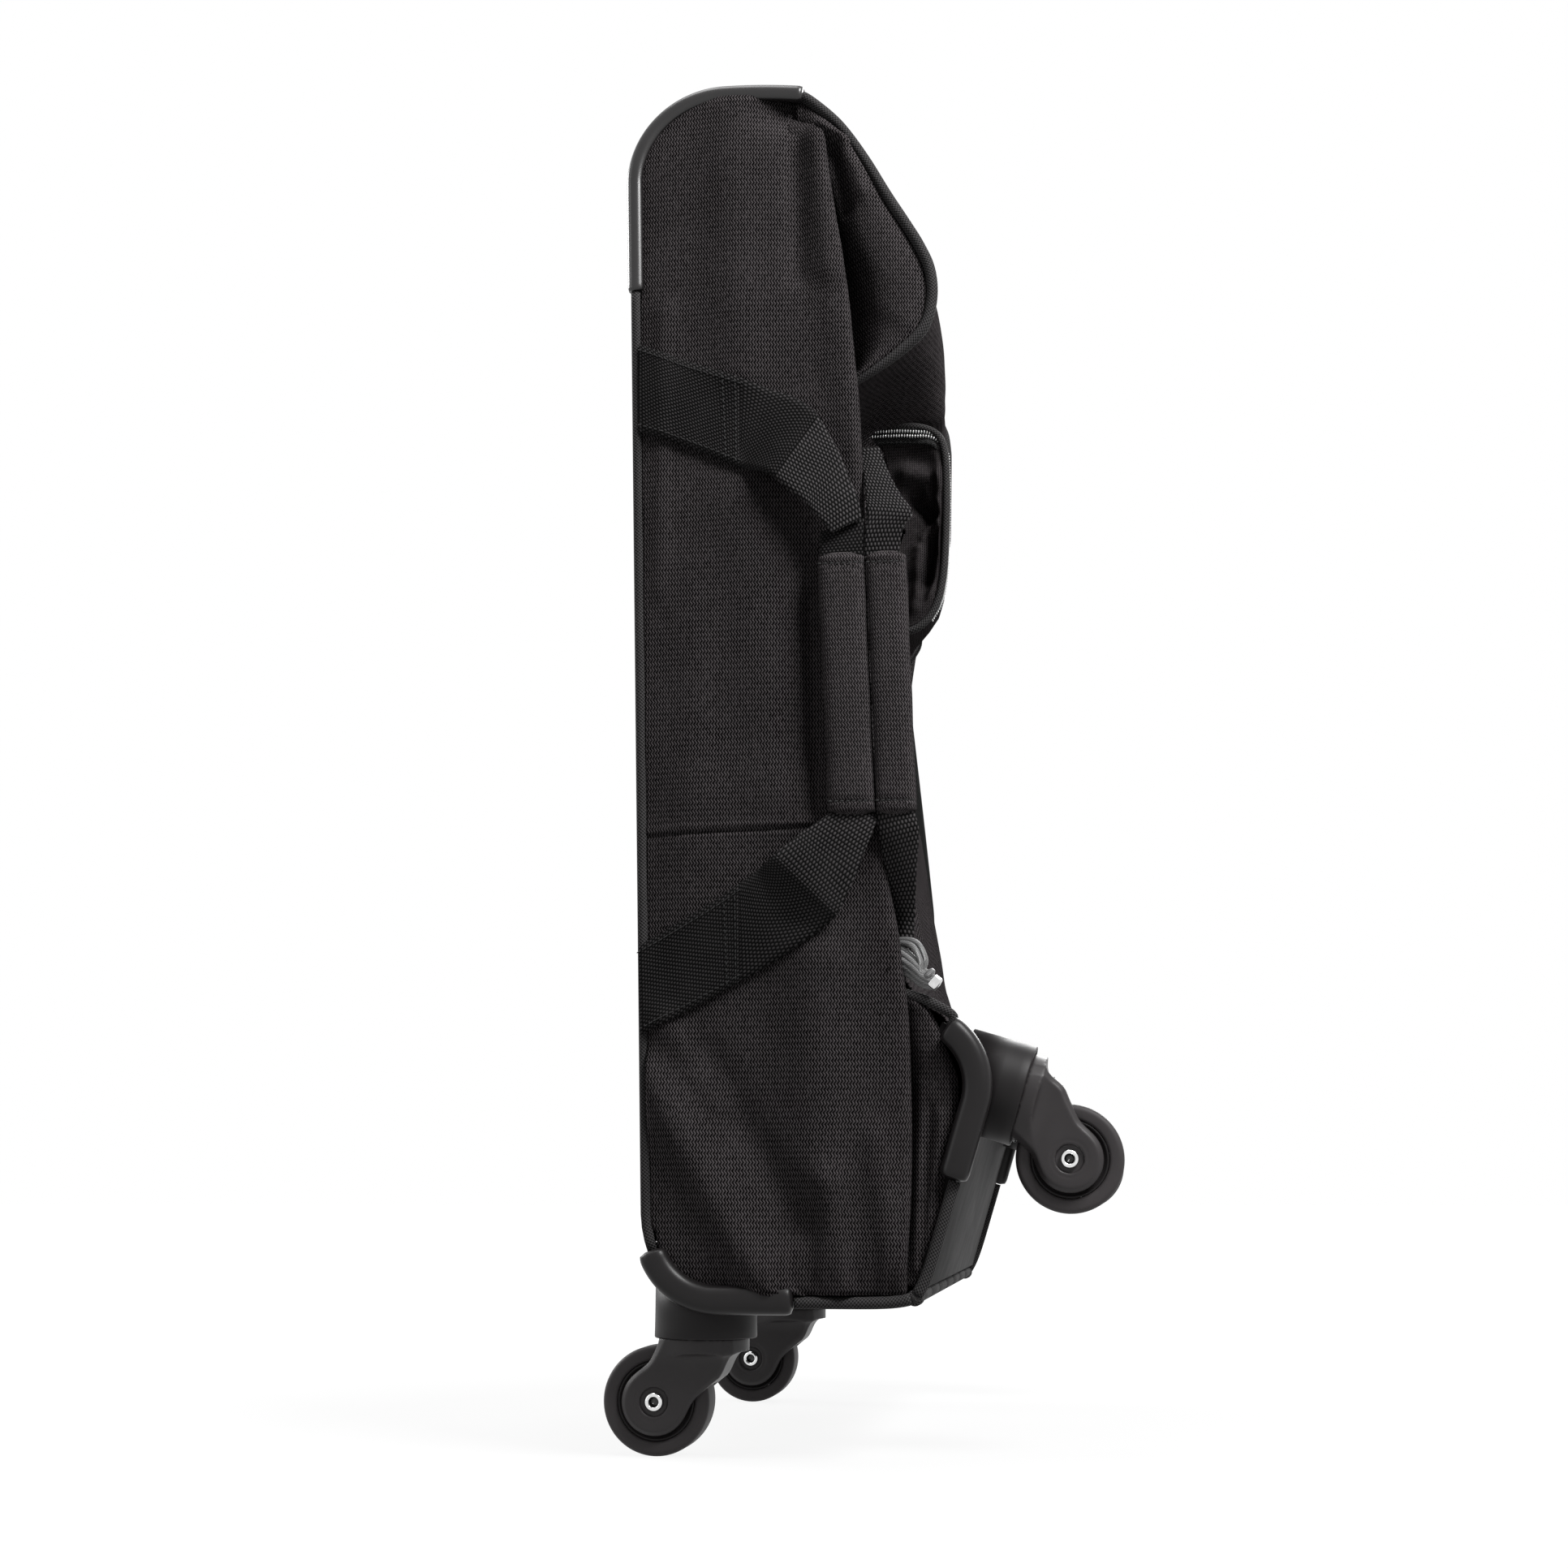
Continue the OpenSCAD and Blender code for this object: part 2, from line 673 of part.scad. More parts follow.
module rear_handle_strap() {
    color([0.05, 0.05, 0.05]) {
        free_web([stitch_x, strap_top - 40], [stitch_x, strap_top - 1], -web_y - web_t, rear_grip_x, true);
        free_web([stitch_x, strap_low + 19], [stitch_x, strap_low + 57], -web_y - web_t, rear_grip_x, false);
    }
}

module rear_handle_grip() {
    color([0.05, 0.05, 0.05]) carry_grip(rear_grip_x);
}

module front_handle_strap() {
    color([0.05, 0.05, 0.05]) {
        free_web([-17.5, strap_top - 57], [-17.5, strap_top - 33], -pleat_y, front_grip_x, true);
        free_web([-2, strap_low + 49], [-2, strap_low + 65], -pleat_y, front_grip_x, false);
    }
}

module front_handle_grip() {
    color([0.05, 0.05, 0.05]) carry_grip(front_grip_x);
}

// Retractable pull handle in the back

module both_tubes() {
    bag() for (side = [-1, 1]) translate([tube_x, side * tube_y, 0]) children();
}

module box_tube(size, z0, z1) {
    translate([0, 0, z0]) linear_extrude(z1 - z0) difference() {
        square([size[1], size[0]], center = true);
        square([size[1] - 2 * tube_wall, size[0] - 2 * tube_wall], center = true);
    }
}

module handle_cup() {
    color([0.08, 0.08, 0.08]) bag() difference() {
        intersection() {
            translate([tube_x - cup_d, -cup_w, cup_z - 3]) cube([2 * cup_d, 2 * cup_w, 90]);
            slab(concat([[back_x(0), 300]], top_arc(-1), [[shoulder_x, body_h + 1], [shoulder_x, 300]]),
                -shell_y, shell_y);
        }
        translate([tube_x - cup_d + cup_wall, cup_wall - cup_w, cup_z])
            cube([2 * (cup_d - cup_wall), 2 * (cup_w - cup_wall), 90]);
        for (side = [-1, 1]) translate([tube_x, side * tube_y, cup_z])
            cube([stage_1[1] + 0.6, stage_1[0] + 0.6, 20], center = true);
    }
}

module tube_foot() {
    color([0.08, 0.08, 0.08]) bag() difference() {
        translate([tube_x - tube_d / 2, -tube_y - tube_w / 2 - 6, tube_z - 13])
            cube([tube_d + 1 - gap, 2 * tube_y + tube_w + 12, 12.7]);
        for (side = [-1, 1]) translate([tube_x, side * tube_y, tube_z - 20]) cylinder(r = 2.5, h = 40);
    }
}

module outer_tubes() {
    color([0.55, 0.55, 0.57]) both_tubes() box_tube([tube_w, tube_d], tube_z, cup_z - 3.3);
}

module middle_tubes() {
    color([0.6, 0.6, 0.62]) both_tubes() box_tube(stage_1, tube_z + 4, cup_z + 4);
}

module inner_tubes() {
    color([0.65, 0.65, 0.67]) both_tubes() box_tube(stage_2, tube_z + 8, grip_z - 0.2);
}

module pull_grip() {
    color([0.08, 0.08, 0.08]) bag() difference() {
        translate([tube_x, grip_len / 2, grip_z + grip_h / 2]) rotate([90, 0, 0])
            linear_extrude(grip_len) polygon(rounded(grip_d, grip_h, 6));
        translate([tube_x - button_w / 2 - 0.3, -button_len / 2 - 0.3, grip_z + grip_h - 6])
            cube([button_w + 0.6, button_len + 0.6, 20]);
    }
}

module release_button() {
    color([0.25, 0.25, 0.26]) bag()
        translate([tube_x - button_w / 2, -button_len / 2, grip_z + grip_h - 5.6 + button_travel])
            cube([button_w, button_len, 3.8]);
}

back_panel();
top_panel();
front_panel();
side_panels();
gussets();
back_board();
rear_piping();
front_piping();
base_piping_rear();
base_piping_front();
edge_guards();
corner_guards_rear();
corner_guards_front();
rear_base();
front_base();
base_hinge_pin();
rear_sockets();
front_sockets();
rear_swivel_pins();
front_swivel_pins();
rear_near_fork();
rear_near_axle();
rear_near_hub();
rear_near_tyre();
rear_far_fork();
rear_far_axle();
rear_far_hub();
rear_far_tyre();
front_near_fork();
front_near_axle();
front_near_hub();
front_near_tyre();
front_far_fork();
front_far_axle();
front_far_hub();
front_far_tyre();
pocket();
pocket_zip();
pocket_slider();
main_zip();
main_slider();
zip_pull();
strap_anchors();
inner_anchors();
rear_handle_strap();
rear_handle_grip();
front_handle_strap();
front_handle_grip();
handle_cup();
tube_foot();
outer_tubes();
middle_tubes();
inner_tubes();
pull_grip();
release_button();
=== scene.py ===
"""Rolling bowling bag, folded: cloth, trim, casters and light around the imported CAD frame."""

import json
import math
from itertools import product

import bmesh
import bpy
import numpy as np
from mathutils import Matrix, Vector


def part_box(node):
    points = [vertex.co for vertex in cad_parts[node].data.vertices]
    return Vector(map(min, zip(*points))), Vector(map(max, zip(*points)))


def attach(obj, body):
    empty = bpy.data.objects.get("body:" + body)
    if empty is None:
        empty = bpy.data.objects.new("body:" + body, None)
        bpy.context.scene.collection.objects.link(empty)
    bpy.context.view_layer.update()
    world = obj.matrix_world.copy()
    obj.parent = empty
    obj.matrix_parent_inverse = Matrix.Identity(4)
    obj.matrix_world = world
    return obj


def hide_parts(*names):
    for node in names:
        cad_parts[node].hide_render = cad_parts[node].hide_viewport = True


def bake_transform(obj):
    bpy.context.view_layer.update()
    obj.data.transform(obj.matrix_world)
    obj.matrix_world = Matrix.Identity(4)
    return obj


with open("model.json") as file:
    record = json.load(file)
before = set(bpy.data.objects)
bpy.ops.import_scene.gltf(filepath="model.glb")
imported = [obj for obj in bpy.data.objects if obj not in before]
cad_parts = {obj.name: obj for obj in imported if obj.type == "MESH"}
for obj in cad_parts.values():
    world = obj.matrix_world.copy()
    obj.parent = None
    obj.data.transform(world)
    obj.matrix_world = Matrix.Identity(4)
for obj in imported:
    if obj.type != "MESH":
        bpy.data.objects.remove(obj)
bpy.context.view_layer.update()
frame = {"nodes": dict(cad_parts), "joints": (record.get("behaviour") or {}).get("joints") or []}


# Places and widths from the frame

JOINTS = {joint["name"]: joint for joint in frame["joints"]}


def joint_mm(name):
    """A joint's place in the row frame, in mm."""
    return 1000 * np.array(JOINTS[name]["pos_m"])


# Bag coordinates are millimetres from the base hinge, x to the front, z up, the near side at -y.
HINGE = joint_mm("base_fold").round(3)
FOLD = math.radians(JOINTS["base_fold"]["range_deg"][1])
NEAR, FAR = -1, 1
SIDES = ((NEAR, "near"), (FAR, "far"))


def node_box(name):
    """The lowest and highest corners of a CAD node, in bag coordinates."""
    return [(1000 * np.array(corner) - HINGE).round(2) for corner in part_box(name)]


def half_width(name):
    """How far a CAD node reaches from the middle of the bag to its sides."""
    return node_box(name)[1][1]


# The casters' swivel axes outward from the hinge, and a wheel's axle in x and z from its swivel
SWIVEL, WHEEL = ((joint_mm(f"rear_far_{name}") - HINGE).round(3) for name in ("swivel", "wheel_spin"))
CASTER_X, CASTER_Y = -SWIVEL[0], SWIVEL[1]
AXLE = (WHEEL - SWIVEL).round(3)[[0, 2]]

# The middle of the round top rear corner in x and z
TOP_LOW, TOP_HIGH = node_box("top_panel")
CORNER = np.array([TOP_LOW[0] + TOP_HIGH[2] - TOP_LOW[2], TOP_LOW[2]])

# Distances from the middle of the bag to its layers on either side
SHELL_Y = half_width("back_panel")
SIDE_Y = half_width("side_panels") - 0.8
STRAP_Y = half_width("side_panels") + 0.8
TRIM_Y = half_width("rear_piping") - 2.5
HEM_Y = half_width("gussets")
SEAM_Y = HEM_Y + 1.7
POCKET_Y = half_width("pocket")


# Shapes

def row(points):
    """Bag coordinates in mm to the row frame in metres."""
    return (np.asarray(points, float) + HINGE) / 1000


def xyz(x, y, z):
    """Points from measures of shapes that fit together."""
    return np.stack(np.broadcast_arrays(x, y, z), -1).astype(float)


def at_y(xz, y):
    """Points in x and z, given a y."""
    xz = np.asarray(xz, float)
    return xyz(xz[..., 0], y, xz[..., 1])


def cut(u, v):
    """A UV map in metres, from measures in mm of shapes that fit together."""
    return np.stack(np.broadcast_arrays(u, v), -1) / 1000


def mirrored(points):
    """Points drawn outward from the hinge, laid on the rear base half."""
    return np.asarray(points, float) * [-1, 1, 1]


def folded(points):
    """Points drawn outward from the hinge, laid on the folded front base half."""
    p = np.asarray(points, float)
    c, s = math.cos(FOLD), math.sin(FOLD)
    return xyz(p[..., 0] * c - p[..., 2] * s, p[..., 1], p[..., 0] * s + p[..., 2] * c)


def curve(points, per):
    """A smooth curve through the points, with the same number of steps between each two."""
    p = np.asarray(points, float)
    q = np.vstack([2 * p[0] - p[1], p, 2 * p[-1] - p[-2]])
    t = np.linspace(0, 1, per, endpoint=False)[:, None]
    out = []
    for a, b, c, d in zip(q, q[1:], q[2:], q[3:]):
        square, cube = 2 * a - 5 * b + 4 * c - d, 3 * b - a - 3 * c + d
        out.append(0.5 * (2 * b + (c - a) * t + square * t**2 + cube * t**3))
    return np.vstack(out + [p[-1:]])


def steps(path):
    """How far along a path each of its points lies."""
    return np.r_[0, np.cumsum(np.linalg.norm(np.diff(path, axis=0), axis=1))]


def even(path, n):
    """n points spaced evenly along a path."""
    s = steps(path)
    w = np.linspace(0, s[-1], n)
    return np.stack([np.interp(w, s, measure) for measure in np.asarray(path, float).T], 1)


def between(a, b, t):
    """A grid of points from one path to another, at shares t of the way."""
    return a[:, None] + (b - a)[:, None] * t[None, :, None]


def unit(v):
    """Vectors brought to a length of one."""
    return v / np.linalg.norm(v, axis=-1, keepdims=True)


def tangents(path):
    """The directions of a path at its points."""
    return unit(np.gradient(path, axis=0))


def ease(x, a, b):
    """A smooth step from 0 at a to 1 at b."""
    t = np.clip((np.asarray(x, float) - a) / (b - a), 0, 1)
    return t * t * (3 - 2 * t)


def bell(x, middle, width):
    """A smooth bump, 1 at its middle."""
    return np.exp(-((x - middle) / width) ** 2)


def arc_height(r, d):
    """How far a circle stands off its middle line, at a distance from its centre."""
    return np.sqrt(np.clip(r**2 - d**2, 0, None))


def circle(a):
    """Points of a circle with a radius of one, at given angles."""
    return np.stack([np.cos(a), np.sin(a)], 1)


def x_at(line, z):
    """Where a line in x and z lies at a height."""
    return np.interp(z, line[:, 1], line[:, 0])


def ridges(x, z, *lines):
    """Soft folds along lines between two points, as heights over the cloth."""
    total = 0
    for (ax, az), (bx, bz), height, width in lines:
        dx, dz = bx - ax, bz - az
        t = np.clip(((x - ax) * dx + (z - az) * dz) / (dx * dx + dz * dz), 0, 1)
        d2 = (x - ax - t * dx) ** 2 + (z - az - t * dz) ** 2
        total = total + height * np.exp(-d2 / width**2)
    return total


def add_object(name, mesh):
    obj = bpy.data.objects.new(name, mesh)
    bpy.context.collection.objects.link(obj)
    return obj


def mesh_object(name, points, faces, uv=None):
    """A smooth mesh from points in metres, with its doubles merged and its UV map in metres."""
    me = bpy.data.meshes.new(name)
    me.from_pydata(np.asarray(points).tolist(), [], [list(map(int, f)) for f in faces])
    if uv is not None:
        corner = np.empty(len(me.loops), int)
        me.loops.foreach_get("vertex_index", corner)
        layer = me.uv_layers.new(name="cut")
        layer.data.foreach_set("uv", np.asarray(uv)[corner].ravel().astype(np.float32))
    bm = bmesh.new()
    bm.from_mesh(me)
    bmesh.ops.remove_doubles(bm, verts=bm.verts, dist=2e-6)
    bmesh.ops.dissolve_degenerate(bm, edges=bm.edges, dist=1e-7)
    bm.to_mesh(me)
    bm.free()
    me.shade_smooth()
    return add_object(name, me)


def face_out(obj):
    """Turns a closed mesh's faces outwards."""
    bm = bmesh.new()
    bm.from_mesh(obj.data)
    bmesh.ops.recalc_face_normals(bm, faces=bm.faces)
    if bm.calc_volume(signed=True) < 0:
        bmesh.ops.reverse_faces(bm, faces=bm.faces)
    bm.to_mesh(obj.data)
    bm.free()
    return obj


def settle(obj):
    """Makes a piece's modifiers part of its mesh."""
    bpy.context.view_layer.update()
    graph = bpy.context.evaluated_depsgraph_get()
    done = obj.evaluated_get(graph)
    me = bpy.data.meshes.new_from_object(done, preserve_all_data_layers=True, depsgraph=graph)
    obj.modifiers.clear()
    old, obj.data = obj.data, me
    me.name = obj.name
    bpy.data.meshes.remove(old)
    return obj


def grid_faces(rows, columns):
    """Faces with four corners, between the points of a grid."""
    i = np.arange(rows * columns).reshape(rows, columns)
    return np.stack([i[:-1, :-1], i[:-1, 1:], i[1:, 1:], i[1:, :-1]], -1).reshape(-1, 4)


def grid_object(name, p, uv, faces=None):
    """A mesh from a grid of points in bag coordinates."""
    faces = grid_faces(*p.shape[:2]) if faces is None else faces
    return mesh_object(name, row(p).reshape(-1, 3), faces, uv.reshape(-1, 2))


def lengths(p):
    """A UV map of a grid of points from the lengths along its rows and columns, in metres."""
    u, v = np.zeros(p.shape[:2]), np.zeros(p.shape[:2])
    u[:, 1:] = np.cumsum(np.linalg.norm(np.diff(p, axis=1), axis=2), 1)
    v[1:] = np.cumsum(np.linalg.norm(np.diff(p, axis=0), axis=2), 0)
    return cut(u, v)


def cloth(name, p, uv=None, flip=False, thick=1.2, offset=-1, drop=None):
    """A sheet from a grid of points. Its faces look along -y where columns run to +x and rows to +z."""
    faces = grid_faces(*p.shape[:2])
    if drop is not None:
        faces = faces[~drop(p.reshape(-1, 3)[faces].mean(1))]
    if flip:
        faces = faces[:, ::-1]
    obj = grid_object(name, p, lengths(p) if uv is None else uv, faces)
    wall = obj.modifiers.new("thickness", "SOLIDIFY")
    wall.thickness, wall.offset = thick / 1000, offset
    return settle(obj)


def panel(obj):
    """Reads the UV map that a panel was cut to, and hands the panel back."""
    uv = np.empty(2 * len(obj.data.loops))
    obj.data.uv_layers[0].data.foreach_get("uv", uv)
    return obj


def oval(rx, ry, n, power=2.0):
    """A closed outline, (side, out) pairs."""
    a = np.linspace(0, 2 * math.pi, n, endpoint=False)
    turn = circle(a)
    return [rx, ry] * np.sign(turn) * np.abs(turn) ** (2 / power)


def rail(name, path, outline, swell=1.0, side=(0, 1, 0)):
    """An outline swept along a path, closed at its ends.

    Its first measure runs along side, its second outwards.
    """
    path, side = np.asarray(path, float), np.asarray(side, float)
    tangent = tangents(path)
    across = unit(side - tangent * (tangent @ side)[:, None])
    out = np.cross(tangent, across)
    loop = np.vstack([outline, outline[:1]])
    n, k = len(path), len(loop)
    size = np.broadcast_to(swell, n)[:, None, None]
    p = path[:, None] + size * (loop[None, :, :1] * across[:, None] + loop[None, :, 1:] * out[:, None])
    along = steps(path)
    points = np.vstack([p.reshape(-1, 3), path[:1], path[-1:]])
    uv = np.vstack([cut(along[:, None], steps(loop)).reshape(-1, 2), cut([0, along[-1]], 0)])
    faces = grid_faces(n, k).tolist()
    last = (n - 1) * k
    faces += [[n * k, j + 1, j] for j in range(k - 1)]
    faces += [[n * k + 1, last + j, last + j + 1] for j in range(k - 1)]
    return face_out(mesh_object(name, row(points), faces, uv))


def round_ends(n, length, r):
    """How much a rail's outline shrinks over its last r mm, for rounded ends."""
    s = np.linspace(0, length, n)
    d = np.minimum(np.minimum(s, length - s), r)
    return np.sqrt(np.clip(1 - (1 - d / r) ** 2, 0.02, 1))


def turned(name, profile, place, n):
    """A turned piece from (radius, height) pairs. place lays its x, y and height in bag coordinates."""
    profile = np.asarray(profile, float)
    a = np.linspace(0, 2 * math.pi, n + 1)
    r, h = profile[:, :1], profile[:, 1:]
    p = xyz(r * np.cos(a), r * np.sin(a), h)
    return face_out(grid_object(name, place(p), cut(steps(profile)[:, None], a * r.max())))


def moulded(name, field, low, high, step, place):
    """A moulded shape: the skin where a field of distances in mm is zero."""
    low, high = np.asarray(low, float), np.asarray(high, float)
    n = np.ceil((high - low) / step).astype(int) + 1
    axes = [low[k] + step * np.arange(n[k]) for k in range(3)]
    f = field(*np.meshgrid(*axes, indexing="ij"))
    inside = f < 0
    cells = tuple(n - 1)
    total, count = np.zeros(cells + (3,)), np.zeros(cells)

    # A point in each cell on the skin: the mean of where the skin crosses the cell's edges
    def at(a, d):
        return a[tuple(slice(first, first + size) for first, size in zip(d, cells))]

    for axis in range(3):
        for other in product((0, 1), repeat=2):
            d0, d1 = np.insert(other, axis, 0), np.insert(other, axis, 1)
            a, b = at(f, d0), at(f, d1)
            cross = at(inside, d0) != at(inside, d1)
            point = np.broadcast_to(d0.astype(float), cells + (3,)).copy()
            point[..., axis] += np.where(cross, a / np.where(a == b, 1, a - b), 0)
            total += point * cross[..., None]
            count += cross
    live = count > 0
    index = np.full(cells, -1)
    index[live] = np.arange(live.sum())
    base = np.stack(np.nonzero(live), 1)
    points = low + step * (base + total[live] / count[live][:, None])
    # A face across each edge of the grid that the skin crosses, between the four cells around it
    faces = []
    for axis in range(3):
        u, v = (axis + 1) % 3, (axis + 2) % 3
        a = np.take(inside, range(n[axis] - 1), axis)
        b = np.take(inside, range(1, n[axis]), axis)
        where = np.stack(np.nonzero(a != b), 1)
        for k in (u, v):
            where = where[(where[:, k] > 0) & (where[:, k] < cells[k])]
        quad = []
        for du, dv in ((1, 1), (0, 1), (0, 0), (1, 0)):
            w = where.copy()
            w[:, u] -= du
            w[:, v] -= dv
            quad.append(index[tuple(w.T)])
        quad = np.stack(quad, 1)
        down = ~a[tuple(where.T)]
        quad[down] = quad[down][:, ::-1]
        faces.append(quad)
    return face_out(mesh_object(name, row(place(points)), np.vstack(faces)))


def soft_join(a, b, k):
    """The union of two fields with a fillet."""
    h = np.clip(0.5 + 0.5 * (b - a) / k, 0, 1)
    return b * (1 - h) + a * h - k * h * (1 - h)


# Finishes

class Finish:
    """A material and the wires between its nodes."""

    def __init__(self, name, **sockets):
        self.material = bpy.data.materials.new(name)
        self.material.use_nodes = True
        self.tree = self.material.node_tree
        self.shader = self.tree.nodes["Principled BSDF"]
        for key, value in sockets.items():
            self.shader.inputs[key.replace("_", " ")].default_value = value

    def node(self, kind, inputs=(), **settings):
        n = self.tree.nodes.new(kind)
        for key, value in settings.items():
            setattr(n, key, value)
        for key, value in dict(inputs).items():
            if hasattr(value, "is_output"):
                self.tree.links.new(value, n.inputs[key])
            else:
                n.inputs[key].default_value = value
        return n

    def maths(self, operation, *values):
        return self.node("ShaderNodeMath", enumerate(values), operation=operation).outputs[0]

    def times(self, a, b):
        return self.maths("MULTIPLY", a, b)

    def add(self, a, b):
        return self.maths("ADD", a, b)

    def line(self, value, slope, start):
        return self.maths("MULTIPLY_ADD", value, slope, start)

    def wave(self, value, period, shift=0.0):
        return self.maths("SINE", self.line(value, 2 * math.pi / period, shift))

    def half(self, wave):
        """A wave brought between 0 and 1."""
        return self.line(wave, 0.5, 0.5)

    def uv(self):
        """The cut's own measures in millimetres."""
        n = self.node("ShaderNodeSeparateXYZ", {0: self.node("ShaderNodeTexCoord").outputs["UV"]})
        return self.times(n.outputs[0], 1000.0), self.times(n.outputs[1], 1000.0)

    def noise(self, scale, detail=2.0, stretch=(1, 1, 1)):
        place = self.node("ShaderNodeTexCoord").outputs["Object"]
        where = self.node("ShaderNodeMapping", {0: place, 3: stretch}).outputs[0]
        inputs = {"Vector": where, "Scale": scale, "Detail": detail}
        return self.node("ShaderNodeTexNoise", inputs).outputs[0]

    def colours(self, factor, *stops):
        ramp = self.node("ShaderNodeValToRGB", {0: factor})
        bar = ramp.color_ramp.elements
        for element, (place, colour) in ((bar[0], stops[0]), (bar[1], stops[-1])):
            element.position, element.color = place, (*colour, 1)
        for place, colour in stops[1:-1]:
            bar.new(place).color = (*colour, 1)
        self.tree.links.new(ramp.outputs[0], self.shader.inputs["Base Color"])

    def rough(self, factor, low, high):
        n = self.node("ShaderNodeMapRange", {0: factor, 3: low, 4: high})
        self.tree.links.new(n.outputs[0], self.shader.inputs["Roughness"])

    def bump(self, height, depth, strength):
        """Adds a relief, its depth in mm."""
        n = self.node("ShaderNodeBump", {"Height": height, "Distance": depth / 1000, "Strength": strength})
        self.tree.links.new(n.outputs[0], self.shader.inputs["Normal"])

    def woven(self, tone, stops, height, rough, relief):
        """Colours by tone, roughness and relief by height."""
        self.colours(tone, *stops)
        self.rough(height, *rough)
        self.bump(height, *relief)
        return self.material


def grey(value, warm=0.0):
    return (value * (1 + warm), value, value * (1 + 0.3 * warm))


def twill(name, dark, light, across=1.45, rise=2.6, depth=0.3, warm=0.11):
    """Zig-zag twill: fine lines that run up the cloth and turn at every half rise."""
    f = Finish(name, Specular_IOR_Level=0.0)
    u, v = f.uv()
    zig = f.maths("PINGPONG", v, rise / 2)
    lines = f.half(f.maths("SINE", f.times(f.line(zig, 0.7, u), 2 * math.pi / across)))
    knots = f.half(f.wave(v, rise, 0.6))
    height = f.times(lines, f.line(knots, 0.35, 0.65))
    yarns, clouds = f.line(f.noise(700), 0.7, -0.35), f.line(f.noise(38, 3), 0.2, -0.1)
    stops = (0.05, grey(dark, warm)), (0.45, grey(0.42 * light, warm)), (0.9, grey(light, warm))
    return f.woven(f.add(f.add(height, yarns), clouds), stops, height, (0.8, 0.6), (depth, 0.6))


def webbing(name, dark, light, pitch=2.1, bead=1.7, depth=0.5):
    """Woven webbing: staggered beads in rows across the strap."""
    f = Finish(name, Specular_IOR_Level=0.03)
    u, v = f.uv()
    lines = f.wave(u, 2 * pitch)
    stagger = f.times(f.maths("SIGN", lines), math.pi / 2)
    beads = f.times(f.maths("ABSOLUTE", lines), f.half(f.wave(v, bead, stagger)))
    tone = f.add(f.times(beads, 0.85), f.times(f.noise(60), 0.2))
    stops = (0.1, grey(dark)), (0.5, grey(0.4 * light, 0.05)), (1.0, grey(light, 0.08))
    return f.woven(tone, stops, beads, (0.8, 0.5), (depth, 0.8))


def corded(name, dark, light):
    """Bias-cut cloth round a cord, its yarns slanting."""
    f = Finish(name, Specular_IOR_Level=0.03)
    u, v = f.uv()
    slant = f.wave(f.add(u, f.times(v, 0.8)), 1.5)
    yarn = f.wave(f.maths("SUBTRACT", u, v), 1.9)
    height = f.add(f.line(slant, 0.3, 0.5), f.times(yarn, 0.2))
    tone = f.add(f.times(height, 0.8), f.times(f.noise(50), 0.2))
    return f.woven(tone, ((0.1, grey(dark)), (0.9, grey(light, 0.04))), height, (0.75, 0.55), (0.25, 0.7))


def plastic(name, tone, rough, grain=2200, depth=0.03, level=0.4, wear=0.25):
    """Moulded plastic with a fine grain and slightly rubbed places."""
    f = Finish(name, Specular_IOR_Level=level)
    f.colours(f.noise(24, 4), (0.3, grey(tone * (1 - wear), 0.12)), (0.75, grey(tone * (1 + wear), 0.12)))
    f.rough(f.noise(65, 3), rough - 0.07, rough + 0.1)
    f.bump(f.noise(grain), depth, 0.6)
    return f.material


def metal(name, tone, rough, stretch=(1, 1, 1), scale=400):
    """Metal with fine lines, which stretch draws out."""
    f = Finish(name, Metallic=1.0)
    lines = f.noise(scale, 3, stretch)
    stops = (0.3, grey(tone * 0.86)), (0.8, grey(tone))
    return f.woven(lines, stops, lines, (rough * 0.8, rough * 1.3), (0.01, 0.4))


def tape(name, dark, light):
    """Herringbone zip tape."""
    f = Finish(name, Specular_IOR_Level=0.03)
    u, v = f.uv()
    height = f.half(f.wave(f.add(u, f.maths("PINGPONG", v, 2.4)), 1.3))
    return f.woven(height, ((0.1, grey(dark)), (0.9, grey(light))), height, (0.8, 0.6), (0.2, 0.7))


def strand(name):
    """Shiny grey cord strands."""
    f = Finish(name, Specular_IOR_Level=0.6, Sheen_Weight=0.1)
    u, v = f.uv()
    height = f.half(f.wave(f.line(v, 2.2, u), 1.4))
    tone = f.add(f.times(height, 0.5), f.times(f.noise(120), 0.5))
    stops = (0.15, grey(0.02)), (0.6, grey(0.12)), (0.95, grey(0.4))
    return f.woven(tone, stops, height, (0.42, 0.28), (0.2, 0.8))


def thread(name, tone):
    f = Finish(name, Specular_IOR_Level=0.3)
    lines = f.noise(900)
    f.colours(lines, (0.3, grey(tone * 0.7)), (0.7, grey(tone * 1.2)))
    f.rough(lines, 0.5, 0.7)
    return f.material


TWILL = twill("charcoal_twill", 0.0006, 0.063)
LOBE_TWILL = twill("gusset_twill", 0.0008, 0.062, across=1.35, rise=2.4)
BACK_TWILL = twill("back_twill", 0.001, 0.075)
GRIP_TWILL = twill("grip_twill", 0.005, 0.075, across=1.35, rise=2.3)
POCKET_CLOTH = twill("pocket_twill", 0.003, 0.05, across=0.9, rise=1.3, depth=0.15)
# One webbing in two copies. The darker copy, with a finer weave, is painted shade on the sewn and flat
# stretches and the tucked tails. The lighter copy is painted light on the turned stretches past the crease,
# the front straps and the anchors.
SEWN_SHADED_WEB = webbing("sewn_shaded_webbing", 0.001, 0.042, pitch=1.5, bead=1.8, depth=0.4)
LOOSE_LIT_WEB = webbing("loose_lit_webbing", 0.002, 0.085)
PIPING = corded("piping_cloth", 0.001, 0.06)
TRIM = plastic("satin_trim", 0.008, 0.36, depth=0.015, level=0.2)
EDGE_TRIM = plastic("polished_trim", 0.008, 0.3, depth=0.012, level=0.5)
BASE = plastic("matt_base", 0.006, 0.6, level=0.06)
